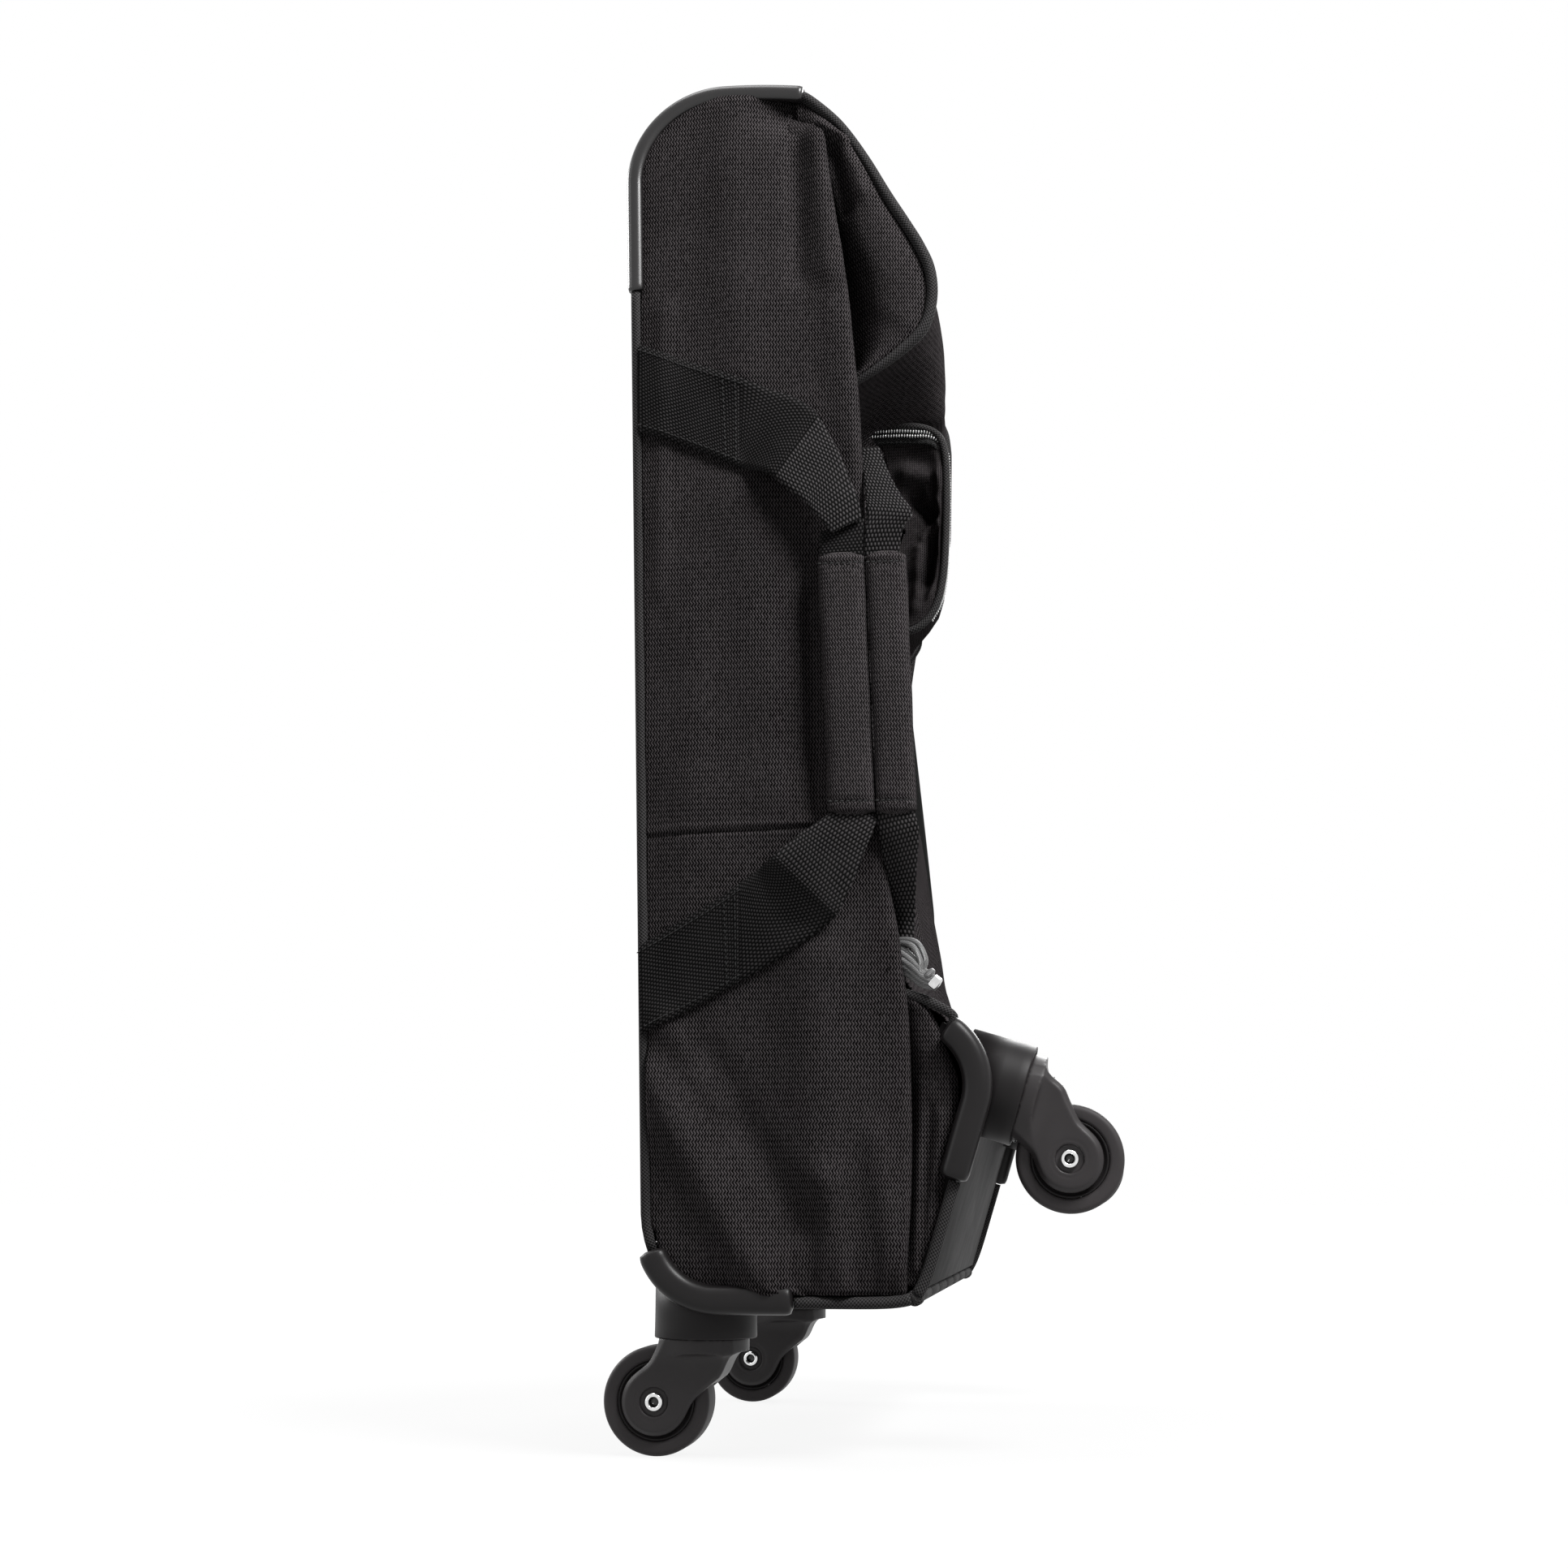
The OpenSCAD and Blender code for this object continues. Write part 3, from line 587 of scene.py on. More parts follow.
CASTER = plastic("caster_plastic", 0.011, 0.46, depth=0.015, level=0.16)
# The fork takes a copy of the caster plastic twice as light: painted light for the light its faces catch
# from the right.
FORK_LIT_PLASTIC = plastic("fork_lit_plastic", 0.022, 0.42, depth=0.015, level=0.25)
TYRE = plastic("wheel_tread", 0.03, 0.56, grain=1500, depth=0.02, level=0.24)
HUB = plastic("hub_plastic", 0.011, 0.5, level=0.15)
BUTTON = plastic("button_plastic", 0.05, 0.45, level=0.3)
CHROME = metal("bright_plate", 0.78, 0.14)
# Dark metal for the cone deep in the rivet's hole: painted shade of the hollow centre.
BORE_SHADE = metal("bore_painted_shade", 0.06, 0.25)
STEEL = metal("zinc_steel", 0.5, 0.35)
BLACK_STEEL = metal("blackened_steel", 0.04, 0.45)
TUBE = metal("satin_tube", 0.34, 0.34, stretch=(1, 1, 0.02), scale=900)
TEETH = metal("zip_teeth", 0.5, 0.3)
SLIDER = metal("dark_slider", 0.18, 0.35)
CRIMP = metal("bright_crimp", 0.7, 0.2)
TAPE = tape("zip_tape", 0.003, 0.03)
STRAND = strand("pull_strands")
THREAD = thread("black_thread", 0.004)


# Repeats along a path

REPEAT_INPUTS = {"Path": "Geometry", "Spacing": "Float", "Long": "Float", "Wide": "Float", "High": "Float",
                 "Facing": "Vector", "Finish": "Material"}
REPEAT_NODES = {
    "given": "NodeGroupInput", "line": "GeometryNodeMeshToCurve", "spaced": "GeometryNodeResampleCurve",
    "tangent": "GeometryNodeInputTangent", "turn": "FunctionNodeAlignRotationToVector",
    "face": "FunctionNodeAlignRotationToVector", "ball": "GeometryNodeMeshUVSphere",
    "size": "ShaderNodeCombineXYZ", "set": "GeometryNodeInstanceOnPoints",
    "real": "GeometryNodeRealizeInstances", "smooth": "GeometryNodeSetShadeSmooth",
    "paint": "GeometryNodeSetMaterial", "result": "NodeGroupOutput",
}
REPEAT_WIRES = (
    "given.Path line.Mesh", "line.Curve spaced.Curve", "given.Spacing spaced.Length",
    "tangent.Tangent turn.Vector", "turn.Rotation face.Rotation", "given.Facing face.Vector",
    "given.Long size.X", "given.Wide size.Y", "given.High size.Z",
    "spaced.Curve set.Points", "ball.Mesh set.Instance", "face.Rotation set.Rotation",
    "size.Vector set.Scale", "set.Instances real.Geometry", "real.Geometry smooth.Geometry",
    "smooth.Geometry paint.Geometry", "given.Finish paint.Material", "paint.Geometry result.Items",
)


def repeat_tree():
    """Small round items set along paths, such as stitches and zip teeth."""
    t = bpy.data.node_groups.new("items_along_a_path", "GeometryNodeTree")
    for name, kind in REPEAT_INPUTS.items():
        t.interface.new_socket(name, in_out="INPUT", socket_type=f"NodeSocket{kind}")
    t.interface.new_socket("Items", in_out="OUTPUT", socket_type="NodeSocketGeometry")
    made = {key: t.nodes.new(kind) for key, kind in REPEAT_NODES.items()}
    made["spaced"].mode = "LENGTH"
    made["turn"].axis, made["face"].axis, made["face"].pivot_axis = "X", "Z", "X"
    for key, value in (("Segments", 8), ("Rings", 5), ("Radius", 0.5)):
        made["ball"].inputs[key].default_value = value
    for wire in REPEAT_WIRES:
        (giver, out), (taker, into) = (end.split(".") for end in wire.split())
        t.links.new(made[giver].outputs[out], made[taker].inputs[into])
    return t


REPEAT = repeat_tree()


def items_along(name, paths, spacing, size, facing, material):
    """One mesh of items, size (long, wide, high) in mm, along paths in bag coordinates."""
    points, edges = [], []
    for path in paths:
        first = len(points)
        points += row(path).tolist()
        edges += [(i, i + 1) for i in range(first, len(points) - 1)]
    me = bpy.data.meshes.new(name)
    me.from_pydata(points, edges, [])
    obj = add_object(name, me)
    m = obj.modifiers.new("items", "NODES")
    m.node_group = REPEAT
    values = dict(zip(("Spacing", "Long", "Wide", "High"), (v / 1000 for v in (spacing, *size))))
    values.update(Facing=[float(v) for v in facing], Finish=material)
    for item in REPEAT.interface.items_tree:
        if item.in_out == "INPUT" and item.name in values:
            m[item.identifier] = values[item.name]
    return settle(obj)


def paint(obj, material):
    obj.data.materials.clear()
    obj.data.materials.append(material)


def fit(obj, body, material=None, stands_for=(), bend=None):
    """Finishes a piece and lets it ride on its body, or, given a bend, keeps it where it was drawn, on no
    body; the bend's points are not used.
    """
    if material is not None:
        paint(obj, material)
    if bend:
        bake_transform(obj)
    else:
        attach(obj, body)
    if stands_for:
        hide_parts(*stands_for)
    return obj


# Side panels

CREST_X, CREST_Z = -39.2, 562
CREST = curve([(CREST_X, CREST_Z), (-37.2, 542.3), (-33.7, 517), (-30.3, 495.9), (-27.2, 471), (-25, 446.3),
               (-22.7, 421.7), (-21.7, 401.4), (-20.4, 365), (-18.9, 300), (-16.5, 245), (-12, 200),
               (-5.7, 163.8), (-3.6, 145.1), (-1.9, 130.2), (-1, 108), (-0.5, 71.4), (-1.2, 42.4),
               (-2.9, 13.7), (-3.7, -2)], 8)[::-1]
SIDE_FOLDS = (
    ((-44, 150), (-42, 60), 5.5, 17),
    ((-122, 98), (-66, 0), 7.0, 11),
    ((-96, 106), (-50, 32), -3.4, 9),
    ((-116, 124), (-88, 88), 3.0, 7),
    ((-39, 50), (-34, 0), 4.4, 8),
    ((-17, 70), (-9, 12), 3.2, 7),
    ((-54, 576), (-52, 486), -3.6, 6),
    ((-43, 560), (-36, 486), 2.4, 6),
    ((-86, 574), (-80, 440), 3.0, 14),
    ((-36, 486), (-26, 400), 1.8, 8),
    ((-118, 470), (-119, 330), 1.4, 5),
    ((-78, 372), (-62, 236), 3.2, 17),
    ((-47, 340), (-44, 225), -3.2, 6),
    ((-104, 340), (-100, 232), 1.6, 12),
)


def back_x(z):
    """Where the leaning back lies, at a height."""
    return -125 - np.asarray(z, float) * math.tan(math.radians(1.2))


def crest_x(z):
    """Where the rear half's fold ends, at a height."""
    z = np.asarray(z, float)
    return np.where(z <= CREST_Z, x_at(CREST, z), CREST_X - (z - CREST_Z) * 0.56)


def rear_edge_x(z):
    """Where a side panel meets the trim on the back, at a height."""
    z = np.asarray(z, float)
    heel_x, heel_z, heel_r, top_r, guard_z = -90, 30, 28.5, 42.6, 476
    low = heel_x - arc_height(heel_r, heel_z - np.minimum(z, heel_z))
    high = CORNER[0] - arc_height(top_r, np.clip(z - CORNER[1], 0, None))
    mid = back_x(z) + np.where(z < guard_z, 4.2, 4.9)
    return np.where(z < heel_z, low, np.where(z > CORNER[1], high, mid))


def side_relief(x, z):
    """How far the side panel's cloth stands out, in mm."""
    left, right = rear_edge_x(z), crest_x(z)
    s = np.clip((x - left) / (right - left), 0, 1)
    h = 2.4 * (1 - np.exp(-11 * s)) * ease(z, 0, 22) * (1 - 0.6 * ease(z, 545, 579))
    h = h + 3.2 * (ease(z, 118, 214) - ease(z, 214, 262)) * ease(s, 0.0, 0.2)
    h = h + ridges(x, z, *SIDE_FOLDS)
    gathers = np.sin(2 * math.pi * x / 8.5 + 1.4 * np.sin(x / 11))
    pucker = gathers * (1 - ease(z, 3, 34)) * ease(s, 0.05, 0.3)
    h = h + 0.6 * pucker + 0.35 * np.sin(x / 13 + z / 21) * np.sin(z / 17 - x / 29)
    over_seam = z - (211.2 + (x + 127.5) * 0.029)
    return h - 1.3 * bell(over_seam, 0, 0.9) + 0.5 * bell(over_seam, 2.6, 1.8)


def side_panel(name, side):
    """A side of the rear half, rolled inwards at its front edge."""
    z = np.unique(np.r_[np.linspace(0.6, 205, 66), np.linspace(205, 219, 22), np.linspace(219, 579.8, 118)])
    z = z[:, None]
    s = np.linspace(0, 1, 62)
    roll = 4.4 * (1 - 0.72 * ease(z, 553, 566)) * ease(z, -6, 8)
    left, right = rear_edge_x(z), crest_x(z)
    if side == FAR:
        right = right - 11 * ease(z, 130, 225) * (1 - ease(z, 335, 420))
    x = left + (right - roll - left) * s
    sink = 7.0 * ease(z, 556, 570) * ease(s, 0.45, 0.95) + 1.0 - ease(z, 0, 12)
    flat = xyz(x, SIDE_Y + side_relief(x, z) - sink, z)
    a = np.linspace(0, math.pi, 11)[1:]
    edge = flat[:, -1:]
    arc = xyz(edge[..., 0] + roll * np.sin(a), edge[..., 1] - roll * (1 - np.cos(a)), z)
    back = arc[:, -1:] + np.array([-1, -0.06, 0]) * np.linspace(4, 18, 4)[:, None]
    p = np.concatenate([flat, arc, back], 1)
    uv = lengths(p)
    uv[..., 0] += left / 1000
    uv[..., 1] = z / 1000
    return cloth(name, p * [1, side, 1], uv, flip=side == FAR)


# Gussets: an upper and a lower lobe and a pleated web on each side

LOBE_EDGE = curve([(-54, 581.4), (-48.6, 579.6), (-37.3, 569.7), (-29.3, 560.3), (-19.3, 544.8),
                   (-9.5, 527.3), (-0.4, 512.1), (6.2, 500.5), (11.2, 488.6), (12.6, 476.1),
                   (10.6, 463.8), (5.8, 455), (-3, 447.2), (-12.9, 440.3), (-22.7, 434.6), (-34, 428)], 8)
LOBE_FRONT = np.array([(2.2, 5), (4.6, 14), (8.4, 26), (12.2, 40), (13.6, 50), (14.5, 60), (19.2, 76),
                       (21, 88), (20.6, 98), (17, 108), (13.5, 115), (12, 121), (9, 128), (4, 132.6),
                       (-1, 135)])
TUCK = 15  # how far the lobes reach in behind the rear half's fold
UPPER_PILLOW = curve([(0, 164), (0.2, 165), (0.3, 169), (0.4, 175), (0.5, 179.6), (0.6, 182), (0.75, 182.8),
                      (0.88, 181), (1, SEAM_Y)], 6).T
LOWER_PILLOW = curve([(0, 168), (0.28, 170), (0.42, 175), (0.55, 179), (0.7, 181.5), (0.88, 182),
                      (1, 179)], 6).T
UPPER_FOLDS = (
    ((-41, 563), (-30, 556), 5.0, 3.0),
    ((-29, 556), (-20, 528), 3.0, 4.5),
    ((-36, 551), (-29, 520), -3.6, 3.4),
    ((-16, 500), (-6, 462), 1.0, 10),
    ((-24, 470), (-4, 455), -0.8, 5),
)
LOWER_FOLDS = (
    ((3, 96), (1.5, 12), 1.7, 2.6),
    ((8, 84), (3, 16), -1.8, 2.4),
    ((13, 80), (5.5, 24), 1.3, 2.4),
    ((6, 124), (12, 88), -1.2, 4),
)
LOBE_BEND = ((-7, 0, 60), (13, 0, 62))
FRONT_BEND = ((-30, 0, 330), (8, 0, 134))
WEB_BEND = ((-84, 0, 0), (-8, 0, 0))

# The camera's place, and the outline that the photo shows of the front, drawn at y = 0
EYE = np.array([93.0, -1280.0, 46.0])
FRONT_LINE = np.array([(5.5, 127), (4.5, 140), (1, 168), (-3.6, 194), (-7.2, 221), (-9.7, 236),
                       (-12.7, 248), (-17, 255), (-20, 262), (-20, 324), (-17, 333), (-11, 341),
                       (-4, 349), (1.5, 357), (4.6, 367), (5.7, 380), (7.2, 450), (5.4, 479), (5.1, 545),
                       (-4.2, 570), (-22.3, 604), (-45.3, 640)])


def sunk(p):
    """The soft front sinks in towards its far side, and stays behind the front line of the photo."""
    p = np.array(p, float)
    reach = (p[..., 1] - EYE[1]) / -EYE[1]
    x = EYE[0] + (p[..., 0] - EYE[0]) / reach
    z = EYE[2] + (p[..., 2] - EYE[2]) / reach
    over = x - x_at(FRONT_LINE, z)
    back = 0.5 * (over + np.sqrt(over**2 + 6)) * ease(p[..., 1], -116, -84) * ease(p[..., 2], 127, 166)
    p[..., 0] -= back * reach
    return p


def upper_lobe(name, side):
    """The puffed upper front of a side, up to its piped edge."""
    outer = even(LOBE_EDGE, 110)
    t = np.linspace(0, 1, len(outer))
    z_in = 574 - 150 * ease(t, -0.25, 1.0)
    inner = np.stack([crest_x(z_in) - TUCK, z_in], 1)
    s = np.linspace(0, 1, 46)
    x, z = np.moveaxis(between(inner, outer, s), -1, 0)
    end = ease(t, 0.0, 0.14) * (1 - ease(t, 0.88, 1.0))
    y = SEAM_Y + (np.interp(s, *UPPER_PILLOW) - SEAM_Y) * (0.3 + 0.7 * end[:, None])
    y = y + ridges(x, z, *UPPER_FOLDS) + 0.25 * np.sin(x / 6 + z / 9) * np.sin(z / 7)
    return cloth(name, sunk(xyz(x, y * side, z)[::-1]), cut(x, z)[::-1], flip=side == FAR)


def lower_lobe(name, side):
    """The lower front of a side, which stretches when the base unfolds."""
    z = np.linspace(4.5, 134.6, 72)[:, None]
    right = x_at(LOBE_FRONT, z)
    left = crest_x(z) - TUCK
    s = np.linspace(0, 1, 40)
    x = left + (right - left) * s
    y = np.interp(s, *LOWER_PILLOW) - 3.4 * (1 - ease(z, 2, 40)) * s
    y = y + ridges(x, z, *LOWER_FOLDS) + 0.3 * np.sin(x / 2.7 + z / 23)
    return cloth(name, xyz(x, y * side, z), cut(x, z), flip=side == FAR)


# Front panel, its outline at the sides and in the middle

FRONT_EDGE = curve([(-49.5, 582.3), (-37.3, 568.6), (-19.3, 543.6), (-0.6, 511), (8.6, 490), (10.4, 476),
                    (8.2, 463.6), (-5, 446.4), (-20, 436.6), (-33, 420), (-38, 390), (-38.5, 345),
                    (-36, 290), (-30, 240), (-20, 195), (-8, 154), (3, 135), (13.8, 127.4), (17, 122)], 7)
FRONT_MID = curve([(-49.5, 582.3), (-37, 570.4), (-15.4, 545.6), (2, 515), (10.6, 492), (13.2, 474),
                   (13.2, 458), (12.6, 446), (10, 434), (-8, 424), (-22, 400), (-28, 345), (-24, 300),
                   (-12.6, 247), (-4.8, 198), (1.4, 160), (5.6, 140), (12.6, 128.2), (15.6, 122)], 7)


def front_panel():
    """The front, tucked in at its waist."""
    y = np.linspace(-HEM_Y, HEM_Y, 90)
    heights = (150, 250, 310, 428, 452)
    start = np.interp(FRONT_MID[:, 1], heights, (100, 100, 106, 106, 112))[:, None]
    stop = np.interp(FRONT_MID[:, 1], heights, (172, 150, 122, 122, HEM_Y))[:, None]
    w = ease((np.abs(y)[None] - start) / (stop - start), 0, 1)[..., None]
    x, z = np.moveaxis(FRONT_MID[:, None] * (1 - w) + FRONT_EDGE[:, None] * w, -1, 0)
    y = y + 7 * ease(y, 120, HEM_Y) * (1 - ease(z, 138, 170))
    free = ease(z, 130, 175) * (1 - ease(z, 560, 580))
    x = x + free * (1.1 * np.sin(y / 31 + z / 47) * np.sin(y / 53) + 0.9 * np.sin(z / 19 + y / 41))
    x = x - 2.2 * bell(np.abs(y), 150, 12) * ease(z, 190, 240) * (1 - ease(z, 420, 446))
    return cloth("front_panel_cloth", sunk(xyz(x, y, z)), flip=True)


def turned_share(p, bend):
    """How much of the fold a point of a bending piece takes part in, from 0 to 1."""
    start, end = np.array(bend, float)
    return ease((p - start) @ (end - start) / np.sum((end - start) ** 2), 0, 1)


def gusset_web(name, side):
    """Pleated cloth that lies inside the folded bag.

    It opens like a fan and stays in touch with the front panel's edge.
    """
    edge = FRONT_EDGE[(FRONT_EDGE[:, 1] > 129) & (FRONT_EDGE[:, 1] < 329)]
    edge = sunk(at_y(edge, HEM_Y * side))
    radius = np.hypot(edge[:, 0], edge[:, 2])
    angle = FOLD * turned_share(edge, FRONT_BEND) + np.arctan2(edge[:, 0], edge[:, 2])
    rear, last = WEB_BEND[0][0], -5
    tries = xyz(np.linspace(rear, last, 240), 0, 0)
    turn = FOLD * turned_share(tries, WEB_BEND)
    front = [np.interp(a, turn + np.arcsin(tries[:, 0] / r), tries[:, 0]) for a, r in zip(angle, radius)]
    s = np.linspace(0, 1, 65)
    wide = np.array(front)[:, None] - rear
    x = rear + wide * s
    z = np.sqrt(radius[:, None] ** 2 - x**2)
    pleat = 10 * np.clip(wide / 60, 0, 1) * (1 - np.cos(8 * math.pi * s))
    return cloth(name, xyz(x, (171 + 3 * s - pleat) * side, z), flip=side == NEAR)


# Back and top panels

# The opening for the pull handle's cup: its rear and front edge in x, and half its width
CUP_LOW, CUP_HIGH = node_box("handle_cup")
CUP = (CUP_LOW[0] - 0.6, CUP_HIGH[0] + 0.6, CUP_HIGH[1] + 1.0)


def in_cup(inset):
    """A test for points that lie over the handle's cup, this far within its edges."""
    def test(p):
        x, y = p[:, 0], np.abs(p[:, 1])
        return (x > CUP[0] + inset) & (x < CUP[1] - inset) & (y < CUP[2] - inset)
    return test


def back_panel():
    """The padded back, with two seams across."""
    z = np.linspace(24, 539, 100)[:, None]
    half = SHELL_Y + 1.2
    y = np.linspace(-half, half, 80)
    edge = np.minimum(half - np.abs(y), 60) / 60
    puff = 2.3 * np.sqrt(np.clip(edge, 0, 1)) * ease(z, 20, 60) * (1 - 0.8 * ease(z, 500, 540))
    puff += 0.9 * bell(np.abs(y), 50, 13) * ease(z, 40, 110)
    puff += 0.3 * np.sin(y / 17 + z / 43) * np.sin(z / 29)
    for seam in (150, 400):
        puff -= 1.6 * bell(z, seam, 1.6) * np.clip(edge * 3, 0, 1)
    p = xyz(back_x(z) + 1.4 - puff, y, z)
    return cloth("back_panel_cloth", p, cut(-y, z), flip=True, thick=4.5)


def top_z(radius, x):
    """The height of the top rear corner, or of the flat top ahead of it."""
    x = np.asarray(x, float)
    return CORNER[1] + np.where(x < CORNER[0], arc_height(radius, x - CORNER[0]), radius)


def corner_arc(radius):
    """The top rear corner, from the back up to the top."""
    a = np.linspace(math.pi, math.pi / 2, 40)
    return CORNER + radius * circle(a)


def top_panel():
    """The padded top and its round rear corner, open over the handle's cup."""
    radius, front = 46.6, -49.6
    corner = np.vstack([corner_arc(radius)] + [[x, top_z(radius, x)] for x in CUP[:2]])
    corner = corner[np.argsort(corner[:, 0])]
    flat = np.stack([np.linspace(-86, front, 14), np.full(14, CORNER[1] + radius)], 1)
    path = np.vstack([corner, flat])
    half = SHELL_Y + 1
    y = np.unique(np.r_[np.linspace(-half, half, 70), -CUP[2], CUP[2]])
    rise = 0.8 * np.sqrt(np.clip((half - np.abs(y)) / 40, 0, 1))
    d = path - CORNER
    d[path[:, 0] > CORNER[0]] = [0, 1]
    p2 = path[None] + rise[:, None, None] * unit(d)[None] * ease(-path[:, 0], -front, 60)[None, :, None]
    uv = cut(y[:, None], steps(path))
    return cloth("top_panel_cloth", at_y(p2, y[:, None]), uv, thick=4.0, drop=in_cup(0))


def rimmed(low, high, rim, n, m):
    """Numbers from low to high in n steps, with m more over a rim on either side."""
    before, after = np.linspace(low - rim, low, m), np.linspace(high, high + rim, m)
    return np.unique(np.r_[before, np.linspace(low, high, n), after])


def cup_bezel():
    """A moulded rim around the handle's cup."""
    x = rimmed(CUP[0], CUP[1], 4, 14, 5)
    y = rimmed(-CUP[2], CUP[2], 4, 30, 4)
    obj = cloth("cup_bezel", xyz(x, y[:, None], top_z(48.0, x)), thick=2.2, drop=in_cup(0.5))
    soft = obj.modifiers.new("edge", "BEVEL")
    soft.width, soft.segments = 0.0006, 3
    return settle(obj)


# Making the soft body

for side, word in SIDES:
    panel(fit(side_panel(f"side_panel_{word}", side), "bag", TWILL, ["side_panels"]))
    panel(fit(upper_lobe(f"upper_lobe_{word}", side), "bag", LOBE_TWILL, ["gussets"]))
    lobe = lower_lobe(f"lower_lobe_{word}", side)
    panel(fit(lobe, "front_half", LOBE_TWILL, ["gussets"], LOBE_BEND))
    web = gusset_web(f"gusset_web_{word}", side)
    panel(fit(web, "front_half", LOBE_TWILL, ["gussets"], WEB_BEND))
panel(fit(front_panel(), "front_half", TWILL, ["front_panel"], FRONT_BEND))
fit(back_panel(), "bag", BACK_TWILL, ["back_panel"])
fit(top_panel(), "bag", BACK_TWILL, ["top_panel"])
fit(cup_bezel(), "bag", BASE)


# Piping, edge guards and corner guards

def piping(name, path, outline, body="bag", stands_for=(), bend=None, **shape):
    fit(rail(name, path, outline, **shape), body, PIPING, stands_for, bend)


def heel_line():
    """The back edge's piping, up to the edge guard."""
    z = np.linspace(33, 481.6, 60)
    return even(np.vstack([[(-119.6, 19.5), (-121.4, 25)], np.stack([back_x(z) + 2.6, z], 1)]), 80)


def edge_guard_line():
    """Up the back, around the top rear corner and along the top."""
    radius = 44.7
    foot = np.array([back_x(482) + 2.8, 482])
    up = foot + (CORNER - [radius, 0] - foot) * np.linspace(0, 0.98, 20)[:, None]
    x = np.linspace(-87.5, -50.2, 16)
    ahead = np.stack([x, 582.2 - 2.4 * ((x - CORNER[0]) / 38.6) ** 2], 1)
    return even(np.vstack([up, corner_arc(radius), ahead]), 110)


def corner_guard_line():
    """Outward under a base half and up around its end."""
    a = np.linspace(-math.pi / 2, math.radians(-18), 40)
    under = [(x, -1.8) for x in np.linspace(55, 89, 20)]
    return even(np.vstack([under, [90, 30] + 31.8 * circle(a)]), 70)


TOE_LINE = even(curve([(-9, 138.5), (-2.1, 136.2), (4.2, 134.3), (11.7, 130.6), (18.6, 126),
                       (17.8, 121)], 8), 30)
GUARD_LINE = corner_guard_line()
GUARD_SWELL = 0.72 + 0.28 * round_ends(70, steps(GUARD_LINE)[-1], 4.5)
GUARD_SWELL[[0, -1]] = 0.5
EDGE_SWELL = np.ones(110)
EDGE_SWELL[[0, -1]] = 0.9

for side, word in SIDES:
    heel = at_y(heel_line(), TRIM_Y * side)
    piping(f"rear_piping_{word}", heel, oval(2.7, 2.6, 16), stands_for=["rear_piping"])
    brow = sunk(at_y(even(LOBE_EDGE, 130), 178.6 * side))
    piping(f"front_piping_{word}", brow, oval(3.0, 2.7, 16), stands_for=["front_piping"])
    toe = at_y(TOE_LINE, 180.5 * side)
    piping(f"toe_piping_{word}", toe, oval(2.3, 2.3, 14), "front_half", bend=LOBE_BEND)
    plug = xyz(0, np.linspace(168, 185.4, 16) * side, -0.6)
    ends = round_ends(16, 17.4, 3.0)
    piping(f"hinge_corner_{word}", plug, oval(3.7, 3.7, 20), swell=ends, side=(1, 0, 0))
    t = np.linspace(0, 1, 30)
    base = xyz(1.5 + 53.1 * t, TRIM_Y * side, -2.9 + 2.0 * (1 - t) ** 8)
    cord = oval(2.8, 2.8, 16)
    piping(f"base_piping_rear_{word}", mirrored(base), cord, "bag", ["base_piping_rear"])
    piping(f"base_piping_front_{word}", folded(base)[::-1], cord, "front_half", ["base_piping_front"])
    corner = at_y(edge_guard_line(), TRIM_Y * side)
    guard = rail(f"edge_guard_{word}", corner, oval(4.1, 4.1, 24, 2.3), EDGE_SWELL)
    fit(guard, "bag", EDGE_TRIM, ["edge_guards"])
    half_round = oval(6.8, 6.8, 28, 2.6)
    half_round[:, 0] *= np.where(half_round[:, 0] * side > 0, 1, 0.6)
    run = at_y(GUARD_LINE, TRIM_Y * side)
    for end, body, path in (("rear", "bag", mirrored(run)), ("front", "front_half", folded(run)[::-1])):
        guard = rail(f"corner_guard_{end}_{word}", path, half_round, GUARD_SWELL)
        fit(guard, body, TRIM, [f"corner_guards_{end}"])


# Casters

def tray_under(b):
    """The underside of a base half, at a distance from the hinge."""
    b = np.asarray(b, float)
    return np.where(b < 90, -3.0, 30 - arc_height(33, np.clip(b, 90, 122) - 90))


def socket(name, place):
    """The swivel socket: a plain cup with its upper end against the base."""
    a = np.linspace(0, 2 * math.pi, 73)
    top = np.minimum(tray_under(CASTER_X + 23.7 * np.cos(a)) + 1.5, 10)
    rings = ((21.8, -17.8), (21.8, -20.2), (22.1, -20.5), (23.4, -20.5), (23.8, -20.3), (24, -19.8),
             (23.9, -16), (23.8, -9), (23.7, top), (10, np.minimum(top, 0)), (5, -2.0), (5, -17.8),
             (21.8, -17.8))
    p = np.stack([xyz(r * np.cos(a), r * np.sin(a), h) for r, h in rings])
    return face_out(grid_object(name, place(p), lengths(p)))


def fork_field(x, y, z):
    """Distances to a caster fork: a round crown that flows into two legs with chamfered bosses."""
    px, pz, y = x - AXLE[0], z - AXLE[1], np.abs(y)
    from_axle = np.hypot(px, pz)
    crown = np.maximum(np.hypot(x, y) - 20.4, np.abs(z + 23.3) - 3.2)
    bx, bz = 17.5, 21.0
    t = np.clip((px * bx + pz * bz) / (bx * bx + bz * bz), 0, 1)
    arm = np.hypot(px - t * bx, pz - t * bz) - (13.0 + 3.2 * t * t)
    flat = soft_join(arm, from_axle - 15.4, 4)
    chamfer = (flat + y - 13.3) / math.sqrt(2)
    leg = np.maximum(np.maximum(flat, y - 15.5), chamfer)
    body = np.maximum(soft_join(crown, leg, 8.0), z + 20.2)
    wheel_room = np.maximum(from_axle - 26.5, y - 11.3)
    dish = np.maximum(from_axle - 6.6, 13.9 - y)
    groove = np.hypot(from_axle - 8.4, y - 15.7) - 0.6
    for hollow in (wheel_room, dish, groove):
        body = np.maximum(body, -hollow)
    return np.maximum(body, 3.1 - from_axle)


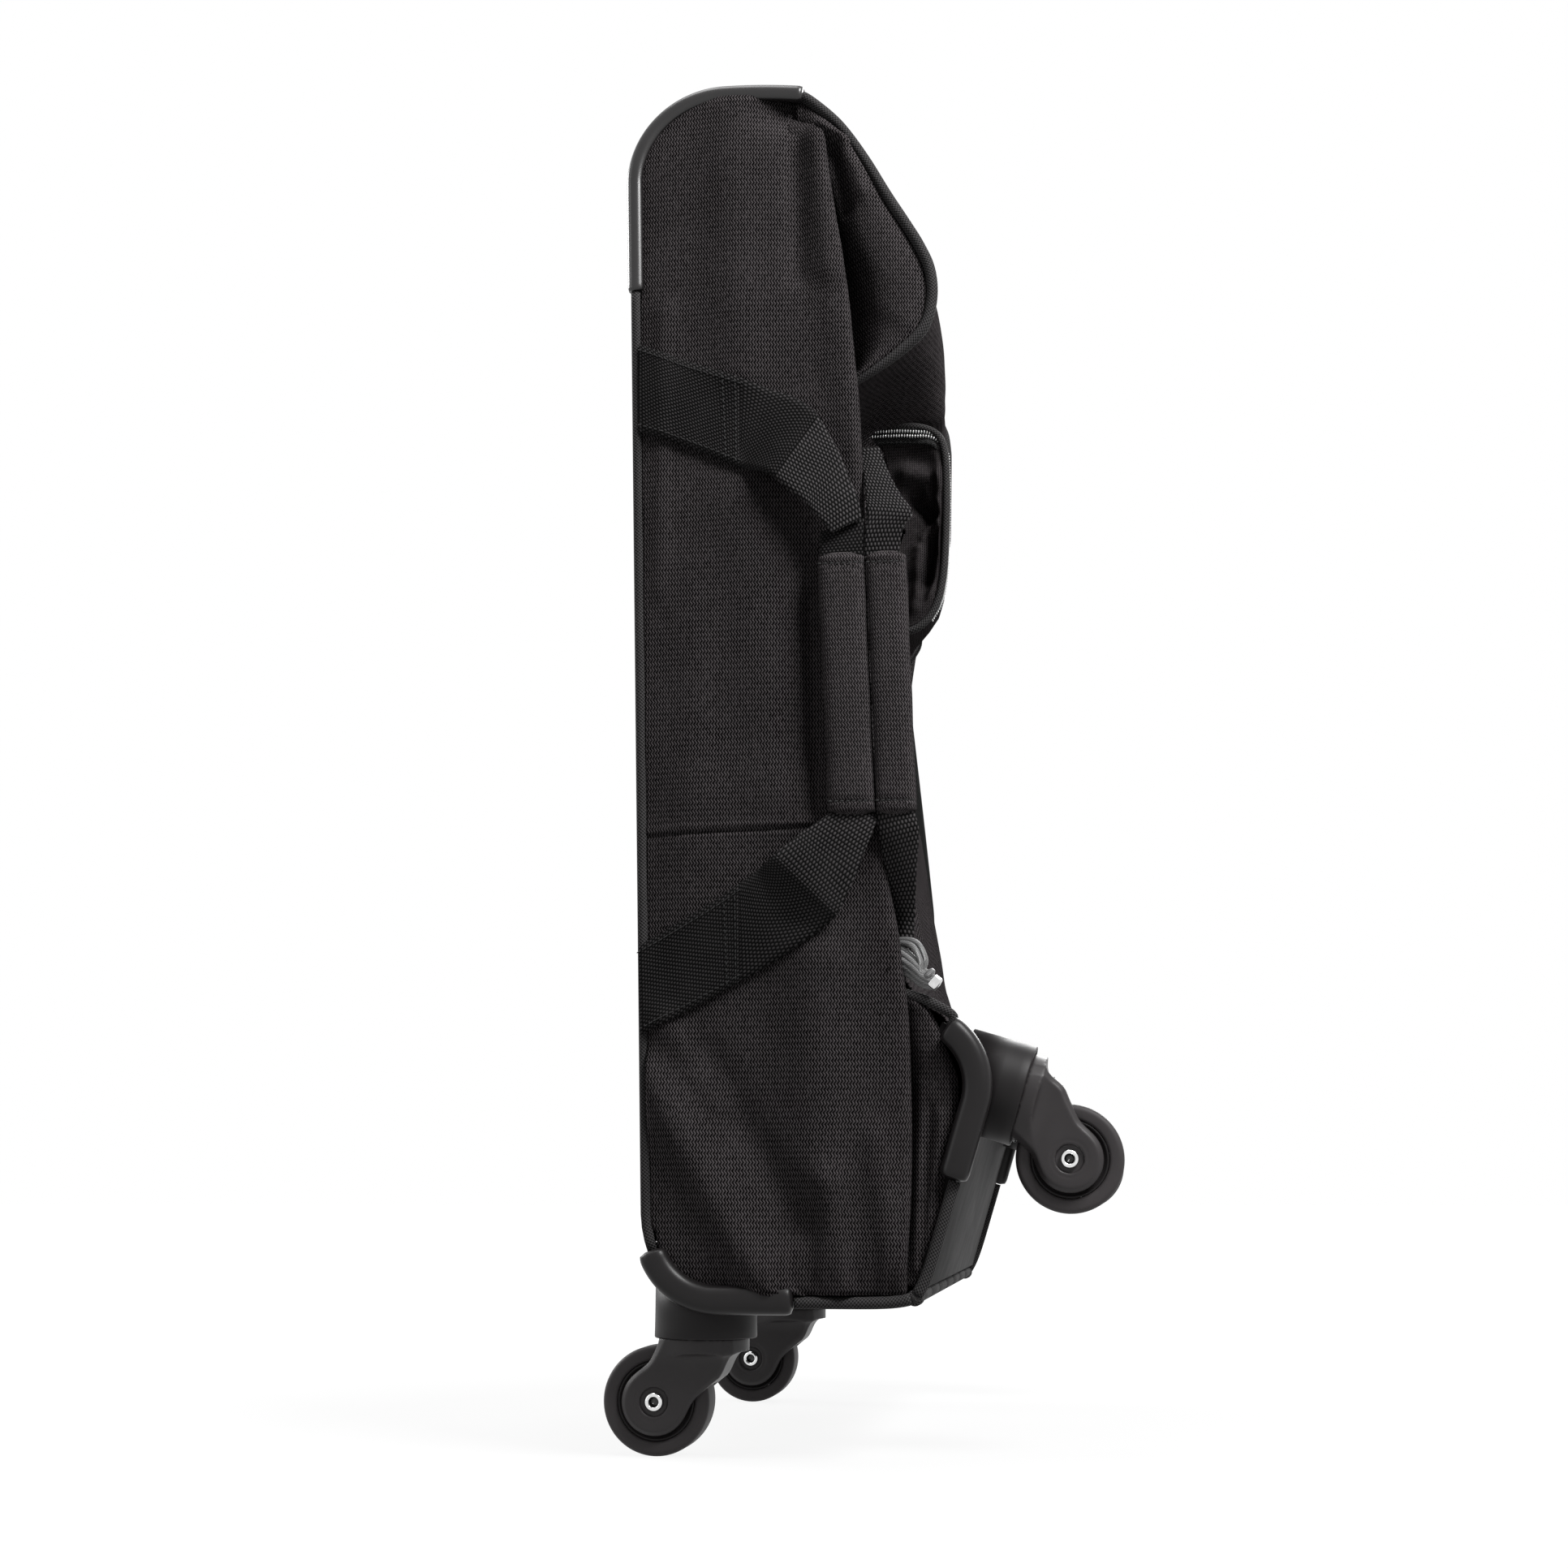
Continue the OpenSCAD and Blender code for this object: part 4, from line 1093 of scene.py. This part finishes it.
def both_ways(half, middle=()):
    """A section that is the same above and below, closed, as (radius, height) pairs."""
    return [*half, *middle, *((r, -h) for r, h in reversed(half)), half[0]]


TREAD = [(22.4 + 2.6 * math.sin(t), 7.9 + 2.6 * math.cos(t)) for t in np.linspace(0, math.pi / 2, 6)]
TYRE_PROFILE = both_ways([(18.1, 9.6), (18.6, 10.2), (19.6, 10.4), *TREAD])
HUB_PROFILE = both_ways([(3.2, 10.3), (7.3, 10.3), (7.6, 9.4), (16.6, 9.2), (17.0, 9.8), (17.8, 9.8),
                         (18, 9.4)])
RIVET_PROFILE = both_ways([(2.3, 12.6), (2.3, 15.9), (2.5, 16.3), (3.0, 16.5), (3.7, 16.3), (4.2, 15.8),
                           (4.35, 15.0), (4.35, 14.4), (3.0, 14.4)], [(3.0, 0)])
# A cone deep in the rivet's hole; its dark finish is painted shade of the hollow.
BORE_PROFILE = both_ways([(0.02, 15.2), (0.5, 15.0), (1.5, 13.6), (2.35, 13.4)])[:-1]


def caster(end, word, place):
    """One caster's pieces, on its swivel and wheel bodies."""
    def on_axle(p):
        return place(xyz(p[..., 0] + AXLE[0], p[..., 2], p[..., 1] + AXLE[1]))

    name = f"{end}_{word}"
    swivel, wheel = f"{name}_swivel", f"{name}_wheel"
    fork = moulded(f"{name}_fork_body", fork_field, (-39, -22.5, -66), (22.5, 22.5, -18.5), 0.75, place)
    fit(fork, swivel, FORK_LIT_PLASTIC, [f"{name}_fork"])
    for piece, profile, n, body, slot, finish, nodes in (
        ("tyre_ring", TYRE_PROFILE, 96, wheel, "tyre", TYRE, [f"{name}_tyre"]),
        ("hub_disc", HUB_PROFILE, 72, wheel, "caster_plastic", HUB, [f"{name}_hub"]),
        ("rivet", RIVET_PROFILE, 40, swivel, "chrome", CHROME, [f"{name}_axle"]),
        ("rivet_bore_shade", BORE_PROFILE, 32, swivel, "chrome", BORE_SHADE, ()),
    ):
        fit(turned(f"{name}_{piece}", profile, on_axle, n), body, finish, nodes)


for side, word in SIDES:
    seat = np.array([CASTER_X, CASTER_Y * side, 0])
    caster("rear", word, lambda p: p + seat * [-1, 1, 1])
    caster("front", word, lambda p: folded(p + seat))
    for end, body, lay in (("rear", "bag", mirrored), ("front", "front_half", folded)):
        cup = socket(f"{end}_{word}_socket", lambda p: lay(p + seat))
        fit(cup, body, CASTER, [f"{end}_sockets"])


# Carry handles: each strap is drawn by its two edges

UPPER_SEWN = (
    [(-129.6, -185.6, 453.6), (-118, -187.0, 448.2), (-106.6, -187.6, 443.4), (-93, -187.9, 438.4),
     (-80, -188.1, 433.2)],
    [(-129.2, -185.6, 409.6), (-114, -187.0, 403.6), (-100.4, -187.6, 398.2), (-90, -187.9, 393.4),
     (-80, -188.1, 389.0)])
UPPER_LOOSE = (
    [(-80, -188.1, 433.2), (-66, -189.2, 427), (-55, -191.5, 422.1), (-45, -194.6, 415.0),
     (-41, -195.6, 410.2), (-36.4, -195.6, 401.6), (-31.6, -196, 392.4), (-26, -196.6, 378),
     (-22, -197, 366.8), (-20.6, -196.4, 358.6)],
    [(-80, -188.1, 389.0), (-76, -190, 387.3), (-71, -193.5, 385.4), (-66, -197.0, 383.2),
     (-61.6, -198.6, 379.8), (-56, -199, 374.6), (-48, -199.5, 367.6), (-43, -199.5, 362),
     (-38, -199, 356.4), (-34.6, -198.2, 351.6)])
LOWER_SEWN = (
    [(-127.4, -185.6, 159.6), (-114, -187.0, 166.6), (-102, -187.5, 173.2), (-90, -187.9, 180.2),
     (-79.5, -188.1, 187.2)],
    [(-125.8, -185.6, 118.4), (-112, -187.0, 124.8), (-100, -187.5, 130.8), (-88, -187.9, 137.2),
     (-79.5, -188.1, 141.9)])
LOWER_LOOSE = (
    [(-79.5, -188.1, 187.2), (-74, -189.2, 191), (-69.5, -191.2, 194.3), (-65.4, -194.4, 197.4),
     (-61.5, -196.4, 200.3), (-54, -197.2, 206), (-46.8, -197.6, 211.2), (-39, -197.4, 216.3),
     (-31.5, -196.8, 220.8), (-27, -195.8, 224)],
    [(-79.5, -188.1, 141.9), (-64, -188.9, 150.5), (-50, -190.4, 159), (-38, -193.6, 167.6),
     (-32.7, -196.2, 172.3), (-29, -197.4, 179), (-23, -198.4, 192.1), (-19.5, -198.6, 201),
     (-16.5, -197.6, 209.4), (-14, -196, 215)])
UPPER_TAIL = ([(-40.6, -193.4, 353.5), (-40.4, -194.4, 347), (-40.4, -195.0, 339)],
              [(-19.8, -193.4, 359.5), (-19.9, -194.4, 349), (-20.2, -195.0, 339)])
LOWER_TAIL = ([(-35.6, -195.0, 222), (-34.6, -195.0, 216.5), (-31.5, -194.6, 209)],
              [(-15.6, -195.0, 222), (-15.4, -195.0, 215), (-17.4, -194.6, 206)])
FRONT_UPPER = (
    [(-25, -175.8, 398.6), (-22.4, -178.2, 393), (-20.7, -183.6, 384), (-19.3, -188.8, 372),
     (-18.5, -192.8, 364), (-18.6, -194.8, 355), (-19.2, -195.2, 347), (-19.6, -195, 338)],
    [(-14, -176, 399.2), (-11.8, -179.4, 392.6), (-7.4, -186, 381), (-2, -192, 370), (3.4, -197.5, 360.4),
     (-0.6, -196.8, 354.4), (-2.4, -195.6, 347), (-2.8, -195, 338)])
FRONT_LOWER = (
    [(-10, -174.2, 148), (-7.6, -174.6, 159), (-7.6, -175.8, 172), (-10.4, -184.6, 190), (-13, -192.6, 206),
     (-14.2, -195.2, 214), (-13.2, -195, 224)],
    [(-2.4, -174.4, 148), (-0.3, -175.2, 159), (0.9, -176.8, 171), (3.2, -189, 192), (5.1, -196.4, 210),
     (3.4, -196.5, 217), (2.6, -195, 224)])
UPPER_INNER = ([(-31, -160, 402), (-28, -165, 401.4), (-26, -170, 400.4), (-25, -175.6, 398.2)],
               [(-20, -160, 403), (-17.6, -165, 402.4), (-15.4, -170, 401), (-14, -175.8, 398.8)])
LOWER_INNER = ([(-19, -172.4, 118), (-15, -173.2, 130), (-12, -173.8, 140), (-10, -174.2, 149)],
               [(-11, -172.6, 116), (-8, -173.4, 129), (-4.6, -174, 140), (-2.4, -174.4, 149)])


def ribbon(name, edges, bow=0.5, start=0, stop=None, free=False):
    """Webbing between two edges that have as many points, or the stretch of it between two of them."""
    per = 7
    end = None if stop is None else stop * per + 1
    a, b = (curve(edge, per)[start * per:end] for edge in edges)
    t = np.linspace(0, 1, 14)
    p = between(a, b, t)
    x, z = p[..., 0], p[..., 2]
    p[..., 1] -= bow * np.sin(math.pi * t)
    if not free:
        on_side = np.minimum(p[..., 1], -(STRAP_Y + side_relief(x, z)))
        p[..., 1] = np.where(x < crest_x(z) - 6, on_side, p[..., 1])
    width = np.linalg.norm(b - a, axis=1)
    uv = cut(steps((a + b) / 2)[:, None], width[:, None] * (t - 0.5))
    return face_out(cloth(name, p, uv, thick=1.7, offset=0))


def grip(name, low, high, wide_low, wide_high):
    """A padded sleeve round the webbing, hemmed and stitched near each end."""
    v = np.unique(np.r_[np.linspace(0, 1, 60), 0.04, 0.046, 0.052, 0.948, 0.954, 0.96])
    axis = low + (high - low) * v[:, None]
    seat = bell(v, 0.047, 0.006) + bell(v, 0.953, 0.006)
    fill = 0.9 + 0.1 * np.sin(math.pi * np.clip((v - 0.05) / 0.9, 0, 1)) - 0.12 * seat
    lip = ease(np.minimum(v, 1 - v), -0.003, 0.003)
    half = (wide_low + (wide_high - wide_low) * v) / 2 * lip
    deep = 6.6 * fill * lip
    k = 48
    shape = oval(1, 1, k, 3.0)
    loop = np.vstack([shape, shape[:1]])
    wave = 0.015 * np.sin(v * 17)[:, None] * np.cos(np.linspace(0, 4 * math.pi, k + 1))
    loop = loop * (1 + wave)[..., None]
    x = axis[:, :1] + half[:, None] * loop[..., 0]
    y = axis[:, 1:2] + deep[:, None] * loop[..., 1]
    p = xyz(x, y, axis[:, 2:])
    ends = [p[i] * 0.12 + axis[i] * 0.88 for i in (0, -1)]
    p = np.concatenate([ends[:1], p, ends[1:]])
    along = np.r_[0, v, 1] * np.linalg.norm(high - low)
    return face_out(grid_object(name, p, cut(steps(p[10]), along[:, None])))


def strap(name, body, finish, node, edges, bend=None, **shape):
    fit(ribbon(name, edges, **shape), body, finish, [node], bend)


strap("upper_strap_sewn", "bag", SEWN_SHADED_WEB, "strap_anchors", UPPER_SEWN)
strap("lower_strap_sewn", "bag", SEWN_SHADED_WEB, "strap_anchors", LOWER_SEWN)
for level, edges, height in (("upper", UPPER_LOOSE, 411), ("lower", LOWER_LOOSE, 164)):
    bend = ((-80.5, -188, height), (-64, -188, height))
    strap(f"{level}_strap_flat", "rear_handle", SEWN_SHADED_WEB, "rear_handle_strap", edges, bend, stop=4)
    # Past the crease the strap takes the lighter webbing copy: painted light where it turns.
    strap(f"{level}_strap_turned", "rear_handle", LOOSE_LIT_WEB, "rear_handle_strap", edges, start=4)
# The tucked tails take the darker webbing copy: painted shade under the fold.
strap("upper_strap_tail", "rear_handle", SEWN_SHADED_WEB, "rear_handle_strap", UPPER_TAIL)
strap("lower_strap_tail", "rear_handle", SEWN_SHADED_WEB, "rear_handle_strap", LOWER_TAIL)
for level, edges, bow, bend in (
    ("upper", FRONT_UPPER, 0.6, ((-16, -178, 402), (-12, -194, 352))),
    ("lower", FRONT_LOWER, 1.4, ((-4, -176, 166), (-4, -194, 214))),
):
    strap(f"front_{level}_strap", "front_handle", LOOSE_LIT_WEB, "front_handle_strap", edges, bend, bow=bow)
strap("front_upper_anchor", "bag", LOOSE_LIT_WEB, "inner_anchors", UPPER_INNER, free=True)
strap("front_lower_anchor", "bag", LOOSE_LIT_WEB, "inner_anchors", LOWER_INNER, free=True)

GRIP_LOW, GRIP_HIGH = 217.6, 342.4
GRIP_Y = np.mean(node_box("rear_handle_grip"), axis=0)[1]
TOWARDS_NEAR = (0, -1, 0)
GRIPS = (("rear", -25.7, -30.4, 21.8, 22.0), ("front", -5.2, -9.3, 18.4, 18.8))
for word, low, high, wide_low, wide_high in GRIPS:
    ends = np.array([(low, GRIP_Y, GRIP_LOW), (high, GRIP_Y, GRIP_HIGH)])
    sleeve = grip(f"{word}_grip_sleeve", *ends, wide_low, wide_high)
    fit(sleeve, f"{word}_handle", GRIP_TWILL, [f"{word}_handle_grip"])
for word, low, high in (("rear", (-35.4, -16.2), (-40.0, -20.4)), ("front", (-13.6, 2.6), (-17.4, -1.0))):
    hems = [xyz(np.linspace(*ends, 8), -201.2, z) for ends, z in ((low, 223.6), (high, 336.4))]
    seam = items_along(f"{word}_grip_stitches", hems, 2.6, (1.9, 0.9, 0.7), TOWARDS_NEAR, THREAD)
    fit(seam, f"{word}_handle")

strap_lines = []
for edges in (UPPER_SEWN, LOWER_SEWN):
    a, b = (curve(edge, 6) for edge in edges)
    strap_lines += [a + (b - a) * t for t in (0.07, 0.93)]
    strap_lines += [a[i] + (b[i] - a[i]) * np.linspace(0.06, 0.94, 30)[:, None] for i in (-2, -5)]
for line in strap_lines:
    line[:, 1] = np.minimum(line[:, 1] - 1.2, -186.9 - side_relief(line[:, 0], line[:, 2]))
seam = items_along("strap_stitches", strap_lines, 2.9, (2.1, 0.7, 0.6), TOWARDS_NEAR, THREAD)
fit(seam, "bag")


# Front pocket

POCKET_OUT = curve([(-22, 430.6), (-8, 430.4), (4, 428.2), (10.6, 423.4), (13.4, 414), (13.9, 396),
                    (13.4, 376), (12.2, 356), (9.4, 340), (3.6, 329), (-5, 323.4), (-24, 321)], 6)
POCKET_MID = np.array([-8.0, 376.0])
POCKET_BACK = -34.0
POCKET_FOLDS = (
    ((-6, 406), (9, 402), -6.0, 6.0),
    ((-2, 392), (6, 384), 6.5, 4.2),
    ((4, 394), (11, 386), -3.6, 3.4),
    ((9, 380), (2, 372), -3.0, 2.6),
    ((8, 371), (4, 350), 6.0, 4.2),
    ((9, 362), (6, 340), -3.4, 2.6),
    ((0, 366), (-3, 336), -4.0, 3.6),
    ((-4, 350), (-10, 330), 3.0, 4.0),
    ((6, 338), (-4, 328), -2.4, 2.6),
)
ZIP_RUN = even(curve([(-34, 425.6), (-12, 425.6), (-2, 424.8), (5, 422.2), (9, 417.4), (10.2, 410),
                      (10.4, 396), (10.0, 376), (9.0, 356), (6.4, 342), (1.4, 332.6)], 8), 120)


def settled(p):
    """The soft pocket lies flatter towards its far side."""
    p = np.array(p, float)
    depth = 1 - 0.7 * ease(p[..., 1], -60, 110)
    p[..., 0] = POCKET_BACK + (p[..., 0] - POCKET_BACK) * depth
    return sunk(p)


def pocket_front():
    """The pocket's face, from its top edge round its front to its lower edge."""
    rim = 7
    inner = POCKET_Y - rim
    y = rimmed(-inner, inner, rim, 50, 7)[:, None]
    turn = np.sqrt(np.clip(1 - np.clip((np.abs(y) - inner) / rim, 0, 1) ** 2, 0, 1))
    z = POCKET_OUT[:, 1]
    face = ease(z, 322, 345) * (1 - ease(z, 405, 428))
    swell = 1.2 * np.cos(y / POCKET_Y * math.pi / 2) * face + 0.5 * np.sin(y / 14) * np.sin(z / 8) * face
    p2 = POCKET_OUT + unit(POCKET_OUT - POCKET_MID) * (swell - 3.0 * (1 - turn))[..., None]
    return cloth("pocket_face", settled(at_y(p2, y)), thick=1.4)


def pocket_wall(name, side):
    """A crumpled end wall of the pocket.

    The far one has no outward bulges, which leaves the slider its way.
    """
    rim = even(POCKET_OUT, 84)
    rim = rim - 1.6 * unit(rim - POCKET_MID)
    s = np.linspace(1, 0.02, 34)[:, None]
    x, z = np.moveaxis(POCKET_MID + (rim - POCKET_MID) * s[..., None], -1, 0)
    inward = 5.5 * ease(1 - s, 0.10, 0.34) + ridges(x, z, *POCKET_FOLDS)
    if side == FAR:
        inward = np.maximum(inward, 0)
    y = side * (POCKET_Y - 0.4 - inward * ease(1 - s, 0.0, 0.16))
    return cloth(name, settled(xyz(x, y, z)), cut(x, z), flip=side == NEAR, thick=1.0)


def pocket_zip(side, word):
    """Tapes and two rows of teeth along the wall's edge.

    The near ones turn onto the pocket's face at the corner.
    """
    n = len(ZIP_RUN)
    turn = math.pi / 2 * ease(np.arange(n), 27, 49) * (side == NEAR)
    c, s = np.cos(turn)[:, None], np.sin(turn)[:, None]
    t = tangents(ZIP_RUN)
    level = np.array([0, side, 0])
    normal = xyz(-t[:, 1], 0, t[:, 0])
    out, over = level * c + normal * s, normal * c - level * s
    middle = settled(at_y(ZIP_RUN, (POCKET_Y - 7.5) * side) + 8 * level * c + 3.4 * normal * s)

    def laid(across, height):
        return middle + over * across + out * height

    width = np.linspace(-5.2, 4.2, 12)
    rise = 0.1 + 0.9 * bell(width, 0, 2.2) - 1.1 * ease(np.abs(width), 3.2, 5.4)
    p = np.stack([laid(w, h) for w, h in zip(width, rise)], 1)
    band = cloth(f"pocket_zip_tape_{word}", p, flip=side == NEAR, thick=0.8)
    fit(band, "bag", TAPE, ["pocket_zip"])
    for part, stretch, facing in (("top", slice(0, 39), level), ("front", slice(38, n), out[-1])):
        for kind, rows, height, spacing, size, finish in (
            ("teeth", (-1.25, 1.25), 1.4, 1.35, (0.85, 2.1, 1.2), TEETH),
            ("stitches", (-4.3, 3.4), 0.4, 2.2, (1.5, 0.5, 0.5), THREAD),
        ):
            lines = [laid(d, height)[stretch] for d in rows]
            items = items_along(f"pocket_zip_{part}_{kind}_{word}", lines, spacing, size, facing, finish)
            fit(items, "bag")
    cord = at_y(even(POCKET_OUT[:-3], 100), side * (POCKET_Y - 0.8))
    piping(f"pocket_edge_{word}", settled(cord), oval(2.2, 2.0, 12))


panel(fit(pocket_front(), "bag", POCKET_CLOTH, ["pocket"]))
for side, word in SIDES:
    wall = pocket_wall(f"pocket_wall_{word}", side)
    panel(fit(wall, "bag", POCKET_CLOTH, ["pocket"]))
    pocket_zip(side, word)

for name, y, low, high, shape in (
    ("body", 117.6, 366, 376, oval(2.4, 3.6, 20, 4)),
    ("tab", 120.5, 354, 372, oval(0.8, 2.0, 16, 4)),
):
    line = xyz(9.9, y, np.linspace(low, high, 14))
    piece = rail(f"pocket_slider_{name}", settled(line), shape, round_ends(14, high - low, 1.2))
    fit(piece, "pocket_runner", SLIDER, ["pocket_slider"])


# Main zip and its pull

def main_zip(side, word):
    """Tape and two rows of teeth in the pleat of a side."""
    run = even(curve([(-22, 28), (-22, 120), (-22, 200), (-24, 232), (-34, 330), (-42, 400), (-47, 470),
                      (-52, 525)], 10), 200)
    t = tangents(run)
    n = np.stack([-t[:, 1], t[:, 0]], 1)
    p = at_y(run[:, None] + n[:, None] * np.linspace(-6, 6, 9)[:, None], side * 175.4)
    fit(cloth(f"main_zip_tape_{word}", p, flip=side == NEAR, thick=0.8), "bag", TAPE, ["main_zip"])
    rows = [at_y(run + n * d, side * SEAM_Y) for d in (-1.2, 1.2)]
    teeth = items_along(f"main_zip_teeth_{word}", rows, 1.5, (0.9, 2.0, 1.3), (0, side, 0), TEETH)
    fit(teeth, "bag")


for side, word in SIDES:
    main_zip(side, word)

PULL_PATHS = [
    [(-17, -178.6, 157), (-8, -180.4, 158.6), (-1, -182.0, 154.6), (5, -183.2, 148), (11, -183.8, 141.6)],
    [(-17, -178.8, 156), (-8, -181.6, 156.4), (-1, -183.4, 152.2), (5, -184.4, 146), (11, -184.4, 141)],
    [(-17, -178.4, 155), (-8, -181.8, 153.8), (-1, -183.8, 149.6), (5, -184.8, 144), (11, -184.6, 140.2)],
    [(-17, -178.2, 154), (-8, -181.2, 151.2), (-1, -183.2, 147), (5, -184.2, 142), (11, -184.2, 139.4)],
    [(-17, -178.0, 153), (-8, -180.2, 149), (-1, -182.2, 144.4), (5, -183.2, 140), (11, -183.6, 138.8)],
    [(-15, -178.0, 159), (-5, -180.6, 161.4), (2.6, -182.6, 159.6), (6.4, -183.0, 152),
     (5.6, -183.4, 146.6), (10.6, -183.4, 142.2)],
    [(-15, -178.0, 158), (-5, -181.4, 159.8), (1, -183.6, 157.6), (4.2, -184.0, 151), (4.4, -184.6, 146),
     (10.6, -184.2, 141)],
]
STRAND_R = 1.35
for name, ends, outline, swell, finish in (
    ("pull_crimp", [(8.8, -184, 142.8), (12.8, -184, 139.6)], oval(2.6, 3.3, 20, 4.0), (5.2, 1.0), CRIMP),
    ("pull_knot", [(6.6, -184, 146.4), (9.4, -184, 143.4)], oval(2.9, 3.4, 20), (4.4, 2.0), STRAND),
):
    piece = rail(name, even(ends, 12), outline, round_ends(12, *swell))
    fit(piece, "main_runner", finish)
for i, path in enumerate(PULL_PATHS):
    line = even(curve(path, 10), 44)
    part = rail(f"pull_strand_{i}", line, oval(STRAND_R, STRAND_R, 10), side=(0, 1, 0.01))
    fit(part, "main_runner", STRAND, ["zip_pull"])


# Hard pieces whose CAD shape stays

def dress(node, material, bevel):
    """A CAD node keeps its shape and gets its finish and softened edges."""
    obj = frame["nodes"][node]
    paint(obj, material)
    if bevel:
        join = obj.modifiers.new("join", "WELD")
        join.merge_threshold = 1e-6
        edge = obj.modifiers.new("edge", "BEVEL")
        edge.width, edge.segments = bevel / 1000, 3
        edge.limit_method, edge.angle_limit = "ANGLE", math.radians(40)


for node, material, bevel in (
    ("rear_base", BASE, 0.8), ("front_base", BASE, 0.8), ("back_board", BASE, 0.4),
    ("handle_cup", BASE, 0.5), ("tube_foot", BASE, 0.5), ("pull_grip", BASE, 0.8),
    ("release_button", BUTTON, 0.8), ("base_hinge_pin", BLACK_STEEL, 0.2),
    ("rear_swivel_pins", STEEL, 0.3), ("front_swivel_pins", STEEL, 0.3), ("outer_tubes", TUBE, 0),
    ("middle_tubes", TUBE, 0), ("inner_tubes", TUBE, 0), ("main_slider", SLIDER, 0.4),
):
    dress(node, material, bevel)


# Camera, light and floor

YAW, PITCH = math.radians(-7.8997), math.radians(9.6746)


def aim(obj, place, direction):
    """Puts a camera or lamp in its place, looking along a direction."""
    obj.location = place
    obj.rotation_mode = "QUATERNION"
    obj.rotation_quaternion = Vector(direction).to_track_quat("-Z", "Y")


camera = add_object("camera", bpy.data.cameras.new("camera"))
look = (math.sin(YAW) * math.cos(PITCH), math.cos(YAW) * math.cos(PITCH), math.sin(PITCH))
aim(camera, (0.11929, -1.28018, 0.12044), look)
camera.data.lens, camera.data.sensor_width = 54.96, 36
camera.data.clip_start, camera.data.clip_end = 0.05, 60
bpy.context.scene.camera = camera

MIDDLE = Vector((0.0, -0.05, 0.36))
for name, place, size, power in (
    ("key_light", (0.85, -0.8, 1.4), (0.6, 0.6), 40),
    ("top_light", (-0.3, -0.3, 2.0), (1.0, 0.7), 12),
    ("strip_light", (-1.5, -0.9, 0.8), (0.15, 1.3), 4),
    ("rear_light", (0.5, 1.9, 1.3), (1.0, 1.0), 34),
    ("back_light", (-1.8, 0.7, 1.2), (0.8, 0.8), 30),
):
    light = bpy.data.lights.new(name, "AREA")
    light.shape, light.energy = "RECTANGLE", power
    light.size, light.size_y = size
    aim(add_object(name, light), place, MIDDLE - Vector(place))


def white_to_sight(tree):
    """One where a ray comes from the camera, a reflection or a clear piece."""
    path = tree.nodes.new("ShaderNodeLightPath").outputs
    most = path["Is Camera Ray"]
    for ray in ("Is Glossy Ray", "Is Transmission Ray"):
        m = tree.nodes.new("ShaderNodeMath")
        m.operation = "MAXIMUM"
        tree.links.new(most, m.inputs[0])
        tree.links.new(path[ray], m.inputs[1])
        most = m.outputs[0]
    return most


def mix(tree, share, lit, seen, output):
    """Mixes the shader that lights the scene with the one that is seen."""
    either = tree.nodes.new("ShaderNodeMixShader")
    for i, given in enumerate((share, lit.outputs[0], seen.outputs[0])):
        tree.links.new(given, either.inputs[i])
    tree.links.new(either.outputs[0], tree.nodes[output].inputs["Surface"])


world = bpy.data.worlds.new("studio")
bpy.context.scene.world = world
world.use_nodes = True
tree = world.node_tree
room, sight = tree.nodes["Background"], tree.nodes.new("ShaderNodeBackground")
for background, strength in ((room, 0.07), (sight, 1.0)):
    background.inputs["Color"].default_value = (1, 1, 1, 1)
    background.inputs["Strength"].default_value = strength
mix(tree, white_to_sight(tree), room, sight, "World Output")

pale = Finish("pale_floor", Base_Color=(0.35, 0.35, 0.35, 1), Roughness=0.9, Specular_IOR_Level=0.0)
glow = pale.node("ShaderNodeEmission", {"Strength": 1.12})
place = pale.node("ShaderNodeTexCoord").outputs["Object"]
apart = pale.node("ShaderNodeVectorMath", {0: place}, operation="LENGTH").outputs["Value"]
fade = pale.node("ShaderNodeMapRange", {0: apart, 1: 0.3, 2: 1.0, 3: 0.8, 4: 1.0}).outputs[0]
mix(pale.tree, pale.times(white_to_sight(pale.tree), fade), pale.shader, glow, "Material Output")
me = bpy.data.meshes.new("floor")
me.from_pydata([(-20, -20, 0), (20, -20, 0), (20, 20, 0), (-20, 20, 0)], [], [(0, 1, 2, 3)])
me.materials.append(pale.material)
add_object("floor", me)

bpy.context.scene.view_settings.view_transform = "Standard"

bpy.context.view_layer.update()
